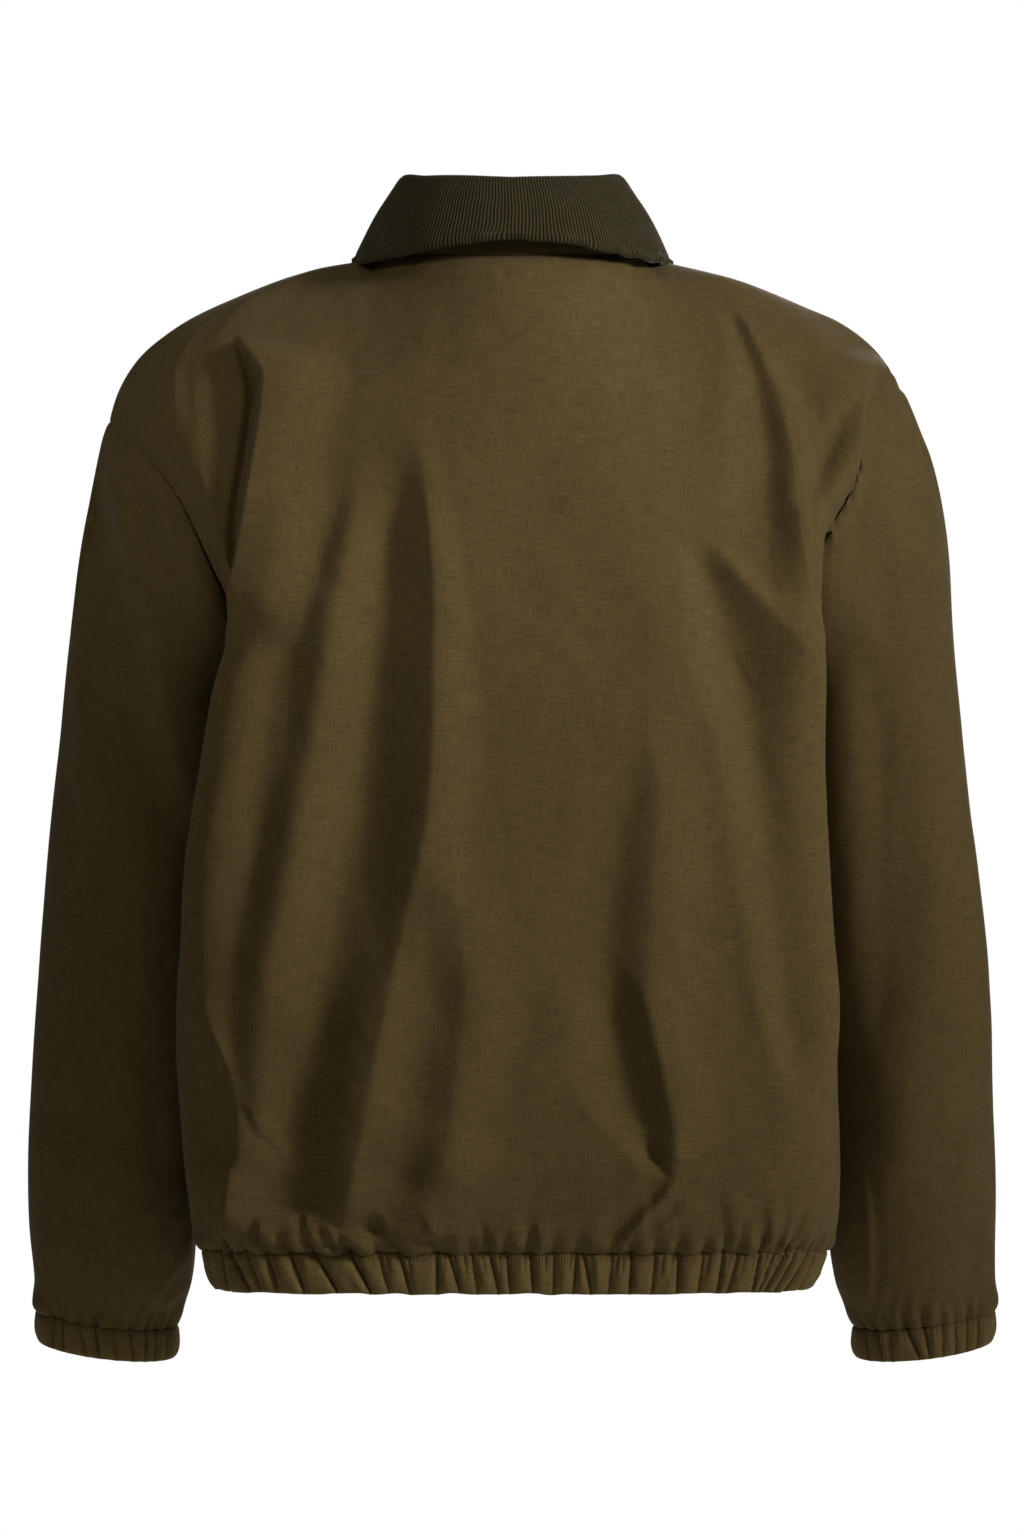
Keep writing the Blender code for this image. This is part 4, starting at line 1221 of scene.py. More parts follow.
@dataclass
class Workshop:
    """The finishes, and the way a finished piece takes its place on the frame."""

    cotton: Material
    # The bands' cloth: the body's cloth with its colour painted lighter, and with painted shade in
    # its shirring creases.
    banding: Material
    cord: Material
    tape: Material
    thread: Material
    brass: Material

    @classmethod
    def open(cls) -> "Workshop":
        """Makes every finish."""
        return cls(
            SlubCotton().build(), SlubCotton(name="slub_cotton_band_painted_light", shirred_with_painted_light=True).build(),
            Needlecord().build(), RibTape().build(), Thread().build(), AgedBrass().build(),
        )

    def place(
        self, mesh: bpy.types.Mesh, finish: Material, slot: str, replaces: str | None = None,
        body: str = "garment",
    ) -> Object:
        """Puts a mesh in the scene as a piece.

        Args:
            mesh: The mesh, whose name the piece takes.
            finish: Its material.
            slot: The record's material slot; not used.
            replaces: The solid it stands for.
            body: The body it moves with.

        Returns:
            The piece.
        """
        piece = bpy.data.objects.new(mesh.name, mesh)
        mesh.materials.append(finish)
        bpy.context.scene.collection.objects.link(piece)
        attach(piece, body)
        if replaces:
            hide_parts(replaces)
        LOG.info("%s: %d points, %d faces", piece.name, len(mesh.vertices), len(mesh.polygons))
        return piece


# The faces of a short bar of four rings of four points, with both its ends closed.
BAR_FACES = np.array(
    [(4 * ring + k, 4 * ring + (k + 1) % 4, 4 * ring + 4 + (k + 1) % 4, 4 * ring + 4 + k)
     for ring in range(3) for k in range(4)] + [(3, 2, 1, 0), (12, 13, 14, 15)]
)


@dataclass
class StitchRun:
    """A line of stitches on a piece of cloth."""

    points: Array
    ways: Array
    pitch: float = 0.0029
    length: float = 0.0022
    radius: float = 0.00022
    lift: float = 0.00012

    def spindles(self) -> tuple[Array, Array]:
        """Each stitch as a thin spindle: its points, and its four-cornered faces."""
        reach = lengths(self.points)
        marks = np.arange(self.pitch, reach[-1] - self.pitch, self.pitch)
        middle = read_line(marks, reach, self.points)
        way = unit(read_line(marks, reach, self.ways))
        run = unit(read_line(marks + MM, reach, self.points) - middle)
        across = unit(np.cross(run, way))
        rings = []
        for share, size in ((-0.5, 0.25), (-0.3, 0.9), (0.3, 0.9), (0.5, 0.25)):
            lift = self.lift if size > 0.5 else -self.lift
            spine = middle + run * self.length * share + way * lift
            rings.append(np.stack([spine + self.radius * size * d
                                   for d in (way, across, -way, -across)], axis=1))
        points = np.stack(rings, axis=1)
        shifts = 16 * np.arange(len(marks))[:, None, None]
        return points.reshape(-1, 3), (BAR_FACES[None] + shifts).reshape(-1, 4)


def stitches(name: str, runs: Sequence[StitchRun]) -> bpy.types.Mesh:
    """Joins all the stitches of several runs.

    Args:
        name: The mesh's name.
        runs: The runs.

    Returns:
        One mesh.
    """
    points: list[Array] = []
    faces: list[Array] = []
    start = 0
    for run in runs:
        made, corners = run.spindles()
        points.append(made)
        faces.append(corners + start)
        start += len(made)
    mesh = bpy.data.meshes.new(name)
    mesh.from_pydata(np.concatenate(points).tolist(), [], np.concatenate(faces).tolist())
    mesh.shade_smooth()
    return mesh


def seam_roll(reach: Array, depth: float, width: float) -> Array:
    """How the cloth rolls in toward a seam, by the distance from it."""
    return -depth * np.exp(-reach / width)


def closer_rows(top: float, foot: float, band: float, upper: int, lower: int) -> Array:
    """Heights of rows that lie closer above a gathered seam.

    Args:
        top: The height just above the first row.
        foot: The seam's height, where the last row lies.
        band: How far above the seam the rows lie closer.
        upper: How many steps there are above that.
        lower: How many steps there are within it.

    Returns:
        The heights.
    """
    split = foot + band
    above, within = np.linspace(top, split, upper + 1), np.linspace(split, foot, lower + 1)
    return np.concatenate([above[1:], within[1:]])


def upright(rows: Sequence[Point], slope: float, fade: Pair, **options: object) -> Fold:
    """A fold that runs mostly down the cloth."""
    return Fold(tuple(rows), slope, fade, **options)


def level(rows: Sequence[Point], slope: float, fade: Pair, **options: object) -> Fold:
    """A fold that runs mostly across the cloth."""
    return Fold(tuple(rows), slope, fade, level=True, **options)


@dataclass
class BodyPieces:
    """The back, the two fronts and the hem band."""

    trunk: Trunk
    shop: Workshop
    cloth: float = 0.0018
    banding: float = 0.0024
    low_band: float = 0.08
    hem_roll: Pair = (0.0013, 0.0022)
    side_roll: Pair = (0.001, 0.0016)
    zip_roll: Pair = (0.0006, 0.0016)
    back_steps: tuple[int, int] = (72, 114)
    front_steps: tuple[int, int] = (54, 78)
    row_steps: tuple[int, int, int] = (84, 93, 48)
    band_steps: int = 1500
    band_rows: int = 24
    runs: list[StitchRun] = field(default_factory=list)
    hem: Gathers = field(init=False)

    # The cloth's small unevenness: height, and spacing across and down, in metres.
    UNEVEN: ClassVar[tuple[Point, ...]] = (
        (0.0016, 0.06, 0.15), (0.0007, 0.024, 0.055), (0.00022, 0.01, 0.016),
    )
    BACK_FOLDS: ClassVar[tuple[Fold, ...]] = (
        # The deep recess below the left shoulder, its crest leaning over it.
        upright(((180, -56, 4), (171, -73, 11), (163.5, -87, 13), (164, -100, 13), (167, -129, 12),
            (171, -155, 12), (177, -200, 13), (182, -232, 14), (188, -262, 14)), 62, (8, 40),
            edge=0.9, skirt=4.5, overlap=4.0, dip=0.4, basin=5.0),
        upright(((180, -56, 2), (172, -73, 4), (165.5, -87, 6), (166, -100, 6), (169, -129, 6),
            (173, -155, 6), (178.5, -200, 6), (183, -232, 6), (188, -262, 6)), 62, (6, 30),
            edge=0.5, skirt=0.3, dip=1.0, basin=1.2),
        # The body's form: fuller toward the right side, flatter below both shoulders.
        upright(((-158, -120, 40), (-160, -260, 46), (-163, -420, 46), (-163, -560, 40)), 18,
            (70, 70), edge=0.0, skirt=1.2),
        upright(((70, -15, 60), (72, -80, 80), (70, -160, 70)), 9, (10, 60), crest=-1, edge=0.0,
            skirt=1.0, dip=0.3),
        upright(((-205, -60, 38), (-214, -120, 42), (-208, -170, 38)), 26, (20, 40), edge=0.0,
            skirt=1.2),
        upright(((164, -230, 34), (174, -320, 36), (182, -400, 36), (190, -500, 30)), 24, (60, 90),
            crest=-1, edge=0.0, skirt=1.1, dip=0.15),
        # The long folds of the left half.
        upright(((98, -140, 14), (108, -170, 18), (126, -245, 22), (139, -323, 26), (153, -390, 28),
            (168, -455, 30), (176, -529, 30), (184, -610, 26)), 31, (60, 30), edge=0.2, skirt=1.3),
        upright(((70, -105, 12), (65, -160, 20), (65, -228, 30), (67, -260, 34), (71, -323, 40),
            (77, -378, 42), (86, -417, 42), (98, -465, 44), (113, -520, 52), (122, -570, 52),
            (127, -635, 36)), 39, (90, 16), edge=0.6, skirt=0.9, dip=0.6, basin=1.5),
        upright(((52, -380, 26), (52, -440, 36), (49, -492, 38), (53, -529, 36), (56, -573, 34),
            (62, -620, 28)), 28, (50, 26), edge=0.4, skirt=1.2),
        upright(((80, -540, 30), (77, -590, 42), (74, -640, 42)), 18, (40, 6), edge=0.0, skirt=1.0),
        # The folds of the right half.
        upright(((-84, -300, 14), (-83, -357, 23), (-77, -400, 28), (-73, -452, 30),
            (-75, -510, 26)), 25, (70, 40), edge=0.3, skirt=1.5),
        upright(((-72, -460, 14), (-78, -505, 24), (-86, -545, 26), (-95, -573, 18),
            (-101, -594, 9)), 41, (44, 8), edge=0.65, skirt=1.4, dip=0.6),
        upright(((-120, -185, 8), (-136, -210, 16), (-154, -240, 28), (-168, -275, 36),
            (-179, -320, 34), (-185, -364, 32), (-190, -430, 30), (-193, -497, 24),
            (-196, -560, 14)), 44, (30, 60), edge=0.7, skirt=1.0, dip=0.7),
        upright(((-143, -36, 4), (-155.8, -65.6, 9), (-163.6, -87, 13), (-168, -108, 17),
            (-171, -126.5, 19), (-172.5, -153, 20), (-174, -179, 20), (-175, -205, 20),
            (-178, -262, 17), (-181, -320, 12)), 45, (12, 70), edge=0.4, skirt=1.5),
        upright(((-188, -80, 3), (-189.5, -153, 3.5), (-192, -192, 3.5), (-196, -245, 4)), 24,
            (20, 40), crest=-1, edge=0.5, skirt=2.0),
        upright(((-229, -90, 7), (-217, -122, 11), (-206, -145, 13), (-194, -175, 11)), 48,
            (10, 14), edge=0.5, skirt=1.4),
        # Small creases by the left shoulder.
        upright(((192, -62, 4), (188.8, -92, 5)), 20, (8, 10)),
        upright(((198, -74, 5), (187.5, -98, 5)), 18, (8, 10)),
        upright(((222, -68, 5), (220, -122, 6)), 12, (18, 20)),
        upright(((211, -66, 5), (208, -118, 6)), 12, (18, 20)),
        upright(((208, -140, 4), (199.8, -161, 4), (189, -180, 4)), 28, (8, 10), edge=0.6),
        # Sharp creases low on the left side.
        upright(((212, -490, 12), (206, -530, 24), (202, -565, 30), (200, -605, 32),
            (202, -645, 26)), 30, (24, 8), edge=0.8, skirt=0.6, dip=0.8),
        upright(((209, -478, 5), (199, -506, 6), (189.4, -532, 6), (183.6, -561, 6),
            (182, -600, 5)), 30, (14, 20), edge=0.7),
        upright(((178, -548, 4), (165, -571, 5), (154, -583, 4)), 24, (10, 8), edge=0.6),
        upright(((196, -560, 5), (193, -600, 6), (188, -636, 5)), 22, (20, 16), edge=0.4),
        # Puckers that rise out of the hem seam.
        upright(((167, -626, 4), (159.9, -643, 5)), 60, (8, 4), edge=0.7, overlap=1.2),
        upright(((150.5, -634, 3.5), (141, -648, 4)), 55, (6, 3), edge=0.6),
        upright(((137, -618, 4), (127.5, -648, 5)), 50, (14, 4), edge=0.6, overlap=1.0),
        upright(((124, -628, 4), (110.5, -647, 6)), 62, (8, 4), edge=0.8, overlap=1.2),
        level(((114, -635, 4), (102, -643, 5.5), (90, -647, 4)), 60, (8, 5), crest=-1, edge=0.8),
        upright(((91, -618, 5), (72.5, -646, 6)), 47, (14, 4), edge=0.5, overlap=1.0),
        upright(((60, -618, 4), (47, -646, 5)), 38, (14, 4), edge=0.5, overlap=1.0),
        upright(((24, -612, 4), (12, -646, 5)), 26, (20, 4)),
        upright(((-14, -622, 4), (-17, -647, 4)), 30, (14, 4), overlap=1.0),
        upright(((-88, -568, 8), (-96, -588, 8), (-102, -602, 5)), 45, (16, 8), edge=0.7),
        upright(((-103, -596, 5), (-92, -612, 7), (-77.9, -626, 7), (-66, -643, 5)), 55, (8, 6),
            edge=0.8),
        upright(((-112, -610, 4), (-101, -624, 5), (-89, -634, 4)), 47, (8, 5), edge=0.7),
        upright(((-88, -606, 3), (-86, -645, 3.5)), 35, (10, 5), crest=-1, edge=0.6),
        upright(((-134, -600, 7), (-141, -645, 7)), 30, (24, 6)),
        upright(((-163, -604, 6), (-165, -645, 7)), 30, (24, 6)),
        upright(((-151, -622, 4), (-149, -647, 4)), 38, (12, 4), edge=0.5),
        upright(((-180, -618, 4), (-173, -648, 4)), 43, (12, 4), edge=0.5),
        upright(((-192, -616, 4), (-183, -648, 4)), 43, (14, 4), edge=0.5, overlap=1.0),
        level(((-42, -612, 4), (-20, -618, 5), (6, -626, 4)), 26, (14, 14), crest=-1),
        # A crease or two across the right half.
        upright(((-139, -252, 3), (-152, -271, 4), (-170, -296, 3)), 16, (14, 12), edge=0.5),
        upright(((-136, -300, 4), (-150, -330, 5), (-160, -372, 5)), 10, (20, 20)),
    )
    FRONT_FOLDS: ClassVar[dict[Side, tuple[Fold, ...]]] = {
        Side.LEFT: (
            upright(((172, -70, 6), (162, -110, 11), (164, -170, 12), (172, -240, 12)), 38,
                (16, 34), edge=0.6, skirt=1.7, facing=-1),
            upright(((104, -190, 12), (118, -300, 18), (106, -420, 24), (92, -540, 24),
                (88, -610, 16)), 25, (60, 50), edge=0.4, facing=-1),
            upright(((52, -260, 12), (46, -400, 16), (62, -520, 18)), 15, (70, 60), crest=-1,
                facing=-1),
            upright(((158, -330, 12), (162, -460, 16), (154, -590, 14)), 24, (60, 50), crest=-1,
                facing=-1),
            upright(((40, -600, 6), (52, -646, 7)), 34, (26, 5), facing=-1),
            level(((120, -596, 6), (146, -606, 7), (176, -600, 6)), 21, (18, 18), crest=-1,
                facing=-1),
        ),
        Side.RIGHT: (
            upright(((-166, -58, 6), (-158, -100, 10), (-162, -165, 12), (-170, -235, 12)), 36,
                (16, 34), crest=-1, edge=0.6, skirt=1.7, facing=-1),
            upright(((-92, -170, 12), (-106, -290, 18), (-120, -420, 22), (-104, -560, 20)), 24,
                (60, 50), crest=-1, edge=0.4, facing=-1),
            upright(((-44, -300, 12), (-56, -450, 18), (-50, -580, 14)), 17, (60, 50), facing=-1),
            upright(((-160, -360, 12), (-166, -480, 14), (-150, -600, 12)), 22, (60, 40),
                facing=-1),
            upright(((-80, -604, 6), (-68, -646, 7)), 36, (24, 5), facing=-1),
            level(((-176, -560, 6), (-150, -572, 7), (-122, -566, 6)), 20, (18, 18), crest=-1,
                facing=-1),
        ),
    }
    # Grooves of the hem that show from behind: sideways at the seam and at the foot, depth,
    # and how far each reaches up into the body, in millimetres.
    HEM_GROOVES: ClassVar[tuple[tuple[float, float, float, float], ...]] = (
        (182.8, 175.7, 3.8, 16), (171.5, 168.0, 1.8, 8), (158.4, 156.5, 2.8, 12),
        (143.0, 138.5, 2.8, 10), (126.9, 116.0, 3.4, 10), (104.4, 93.5, 3.4, 12),
        (86.0, 82.0, 1.6, 8), (72.3, 67.8, 2.6, 12), (48.5, 49.8, 2.3, 10), (40.8, 34.4, 2.3, 12),
        (26.0, 23.0, 1.4, 8), (14.5, 8.7, 2.3, 10), (3.5, 1.0, 2.0, 8), (-11.9, -14.5, 2.6, 14),
        (-27.0, -27.5, 1.4, 9), (-41.4, -41.4, 2.2, 9), (-45.9, -53.7, 2.2, 8),
        (-64.0, -65.0, 1.4, 8), (-76.8, -79.4, 2.6, 12), (-92.0, -94.0, 1.6, 9),
        (-107.0, -111.5, 2.6, 12), (-123.0, -125.0, 1.5, 10), (-135.9, -138.5, 2.2, 12),
        (-145.5, -145.5, 1.8, 10), (-159.7, -162.9, 2.3, 13), (-169.0, -167.0, 1.7, 8),
        (-177.0, -171.2, 2.5, 12), (-184.5, -178.0, 2.5, 12), (-192.4, -185.4, 2.5, 12),
    )

    def __post_init__(self) -> None:
        """Lays out the hem's grooves, the seen ones as listed and the hidden ones like them."""
        shares = np.linspace(0, 1, 601)
        self._reach = {}
        for side in Side:
            back = self.trunk.section(side, Face.BACK, shares, self.trunk.hem_seam)
            front = self.trunk.section(side, Face.FRONT, shares[::-1], self.trunk.hem_seam)
            behind = lengths(back)
            self._reach[side, Face.BACK] = (shares, behind)
            self._reach[side, Face.FRONT] = (shares, (behind[-1] + lengths(front))[::-1])
            self._reach[side, "x"] = (np.abs(back[:, 0]), behind)
        grooves = []
        for at, foot, depth, rise in self.HEM_GROOVES:
            side = Side.LEFT if at > 0 else Side.RIGHT
            start, end = (self._by_width(side, value * MM) for value in (at, foot))
            grooves.append(Groove(start, end - start, depth * MM, rise * MM, -(end - start) * 12))
        generator = np.random.default_rng(41)
        for side in Side:
            at = max(abs(g.at) for g in grooves if g.at * side.sign > 0) + 0.008
            last = self._reach[side, Face.FRONT][1][0] - 0.006
            while at < last:
                lean = generator.uniform(-0.005, 0.003)
                depth = generator.uniform(0.0014, 0.0034)
                rise = generator.uniform(0.008, 0.016)
                slant = side.sign * lean
                grooves.append(Groove(side.sign * at, slant, depth, rise, -slant * 12))
                at += generator.uniform(0.007, 0.02)
        for groove in list(grooves):
            if generator.uniform() < 0.75:
                at = groove.at + generator.choice([-1, 1]) * generator.uniform(0.0035, 0.0055)
                lean = groove.lean * 0.6
                grooves.append(Groove(at, lean, 0.0011, 0.006, groove.drift, full=False))
        total = sum(self._reach[side, Face.FRONT][1][0] for side in Side)
        self.hem = Gathers(grooves, total, 11)

    def _by_width(self, side: Side, across: float) -> float:
        """The signed place along the hem seam behind a sideways place on the back."""
        widths, reach = self._reach[side, "x"]
        widest = int(np.argmax(widths))
        return side.sign * float(np.interp(abs(across), widths[:widest], reach[:widest]))

    def seam_place(self, side: Side, face: Face, share: Array) -> Array:
        """The signed place along the hem seam under each column of a panel."""
        return side.sign * np.interp(share, *self._reach[side, face])

    def shares(self, face: Face, counts: tuple[int, int]) -> Array:
        """Columns of half a back or of a front, even by length in the middle of the body."""
        fine = np.linspace(0, 1, 801)
        line = self.trunk.section(Side.LEFT, face, fine, -0.46)
        return even_shares(line, fine, (0.0, self.trunk.neck_share, 1.0), counts)

    def rows(self) -> tuple[Array, Array]:
        """The rows above the underarm, by share, and below it, by height."""
        yoke, middle, low = self.row_steps
        top, foot = self.trunk.underarm, self.trunk.hem_seam
        return np.linspace(0, 1, yoke + 1), closer_rows(top, foot, self.low_band, middle, low)

    def relief(
        self, net: Net, place: Array, folds: Sequence[Fold], middle: bool, seed: int
    ) -> tuple[Array, Array]:
        """The folds, gathers and seams of a panel.

        Args:
            net: The panel's net.
            place: The place along the hem seam under each column.
            folds: Its folds.
            middle: Whether its first column is a seam too, as on the back.
            seed: The seed of its small unevenness.

        Returns:
            Heights off the net, and sideways shifts.
        """
        over, down = net.over(), net.down()
        above = down[-1:] - down
        first, last = over, over[:, -1:] - over
        height = np.zeros(over.shape)
        shift = np.zeros(net.points.shape)
        for fold in folds:
            height += fold.height(net.points, net.ways)
            if fold.overlap:
                shift += fold.shift(net.points, net.ways)
        for step, (size, across, along_down) in enumerate(self.UNEVEN):
            height += size * ripple(over / across, down / along_down, seed + step)
        held = ease(down, 0, 0.014) * ease(last, 0, 0.014)
        held = held * (ease(first, 0, 0.014) if middle else ease(first, 0, 0.01))
        shift = shift * held[..., None]
        height *= held * ease(above, -0.001, 0.004)
        places = np.broadcast_to(place, over.shape)
        height += self.hem.cloth(places, above)
        shift[..., 2] += self.hem.scallop(places, above)
        height += seam_roll(above, *self.hem_roll)
        height += seam_roll(down, *self.side_roll) + seam_roll(last, *self.side_roll)
        height += seam_roll(first, *(self.side_roll if middle else self.zip_roll))
        return height, shift

    def eased(self, points: Array, both: bool) -> Array:
        """Eases the corner that runs down from each side of the neck.

        Args:
            points: The panel's points.
            both: Whether both its sides are armhole sides, as on the back.

        Returns:
            The points, as they were along the panel's edges.
        """
        net = Net(points)
        over, down = net.over(), net.down()
        weight = ease(down, 0.002, 0.05) * ease(over[:, -1:] - over, 0.004, 0.04)
        if both:
            weight = weight * ease(over, 0.004, 0.04)
        weight = weight * (1 - ease(np.arange(len(points)) / self.row_steps[0], 0.8, 1.2))[:, None]
        for _ in range(3):
            points = relaxed(points, weight, 9)
        return points

    def pucker(
        self, net: Net, height: Array, rows: Array, first: bool, strength: float, seed: int
    ) -> Array:
        """Adds fine lumps beside an armhole seam.

        Args:
            net: The panel's net.
            height: Its heights so far.
            rows: How strong they are on each row, from 0 to 1.
            first: Whether the seam runs down its first column, and not its last.
            strength: Their height.
            seed: Their seed.

        Returns:
            The new heights.
        """
        over, down = net.over(), net.down()
        reach = over if first else over[:, -1:] - over
        lumps = np.abs(ripple(down / 0.0058, reach / 0.014, seed))
        return height + strength * (bell(reach, 0.0105) * rows[:, None]) * (lumps - 0.35)

    def build_back(self) -> Object:
        """The back, cut in one piece."""
        share = self.shares(Face.BACK, self.back_steps)
        downs, heights = self.rows()
        halves = {side: self.trunk.panel(side, Face.BACK, share, downs, heights) for side in Side}
        points = np.concatenate([halves[Side.RIGHT][:, ::-1], halves[Side.LEFT][:, 1:]], axis=1)
        points = self.eased(points, True)
        net = Net(points)
        place = np.concatenate([self.seam_place(Side.RIGHT, Face.BACK, share)[::-1],
                                self.seam_place(Side.LEFT, Face.BACK, share)[1:]])
        height, shift = self.relief(net, place, self.BACK_FOLDS, True, 21)
        armhole = np.arange(points.shape[0]) <= self.row_steps[0]
        down_share = np.clip(np.arange(points.shape[0]) / self.row_steps[0], 0, 1)
        strong = armhole * ease(down_share, 0.3, 0.55) * (1 - ease(down_share, 0.85, 1.0))
        height = self.pucker(net, height, strong, True, 0.0042, 31)
        height = self.pucker(net, height, armhole * ease(down_share, 0.3, 0.6), False, 0.001, 33)
        outer = net.lifted(height, shift)
        over, down = net.over(), net.down()
        centre = len(share) - 1
        over = over - over[:, centre:centre + 1]
        shell = Shell(net, height, self.cloth, over, down - down[-1:], shift)
        piece = self.shop.place(shell.mesh("back_panel"), self.shop.cotton, "slub_cloth", "back")
        yoke = slice(2, self.row_steps[0] + 1)
        for col in (4, -5):
            self.runs.append(StitchRun(outer[yoke, col], net.ways[yoke, col]))
        self.neck_run(outer, net.ways, centre)
        return piece

    def neck_run(self, outer: Array, ways: Array, centre: int) -> None:
        """Stitches just below the neck seam of the back.

        Args:
            outer: The back's outer points.
            ways: The ways off its cloth.
            centre: Its middle column.
        """
        neck = self.back_steps[0]
        columns = slice(centre - neck + 2, centre + neck - 1)
        line = outer[0, columns] * 0.45 + outer[1, columns] * 0.55
        self.runs.append(StitchRun(line, ways[1, columns]))

    def build_front(self, side: Side) -> Object:
        """Makes one front, from the zip to the side seam.

        Args:
            side: The wearer's side.

        Returns:
            The piece.
        """
        share = self.shares(Face.FRONT, self.front_steps)
        downs, heights = self.rows()
        net = Net(self.eased(self.trunk.panel(side, Face.FRONT, share, downs, heights), False))
        place = self.seam_place(side, Face.FRONT, share)
        seed = 51 if side is Side.LEFT else 61
        height, shift = self.relief(net, place, self.FRONT_FOLDS[side], False, seed)
        armhole = np.arange(net.points.shape[0]) <= self.row_steps[0]
        height = self.pucker(net, height, armhole * 1.0, False, 0.0011, seed + 5)
        outer = net.lifted(height, shift)
        name = "front_" + side.value
        down = net.down()
        over = side.sign * net.over()
        shell = Shell(net, height, self.cloth, over, down - down[-1:], shift)
        piece = self.shop.place(shell.mesh(name + "_panel"), self.shop.cotton, "slub_cloth", name)
        yoke = slice(2, self.row_steps[0] + 1)
        self.runs.append(StitchRun(outer[yoke, -5], net.ways[yoke, -5]))
        self.runs.append(StitchRun(outer[3:-2, 3], net.ways[3:-2, 3]))
        neck = slice(3, self.front_steps[0] - 1)
        line = outer[0, neck] * 0.5 + outer[1, neck] * 0.5
        self.runs.append(StitchRun(line, net.ways[1, neck]))
        return piece

    def build_hem(self) -> Object:
        """The doubled band round the hem, drawn in by its elastic and open at the zip."""
        fine = np.linspace(0, 1, 401)
        ring = self.trunk.ring(self.trunk.hem_seam, fine, fine)
        turn = np.arange(len(ring)) / (len(ring) - 1)
        at = even_shares(ring, turn, (0.0, 1.0), (self.band_steps,))
        shares = np.linspace(0, 1, self.band_rows + 1)
        rows = []
        for share in shares:
            height = self.trunk.hem_seam + (self.trunk.hem_foot - self.trunk.hem_seam) * share
            rows.append(read_line(at, turn, self.trunk.ring(height, fine, fine)))
        net = Net(np.array(rows))
        seam = lengths(net.points[0])
        place = self._reach[Side.LEFT, Face.FRONT][1][0] - seam
        over = np.broadcast_to(place, net.points.shape[:2])
        down = net.down()
        share = np.broadcast_to(shares[:, None], over.shape)
        height = self.hem.band(over, share)
        height += seam_roll(down, 0.0014, 0.0013) + seam_roll(down[-1:] - down, 0.0012, 0.0012)
        height += 0.00025 * ripple(over / 0.0035, down / 0.006, 71) * ease(down, 0, 0.004)
        ends = np.minimum(np.abs(over - over[:, :1]), np.abs(over - over[:, -1:]))
        height = height * ease(ends, 0, 0.006)
        shift = np.zeros(net.points.shape)
        wobble = 0.0006 * ripple(over / 0.013, 0 * share, 73)
        wobble += 0.25 * np.clip(height, -0.004, 0.004)
        shift[..., 2] = np.where(share > 0.5, share * 2 - 1, 0) * wobble * ease(ends, 0, 0.006)
        shift[..., 2] += self.hem.scallop(over, down)
        shell = Shell(net, height, self.banding, -over, down, shift)
        mesh = shell.mesh("hem_band_piece")
        piece = self.shop.place(mesh, self.shop.banding, "slub_cloth", "hem_band")
        return piece


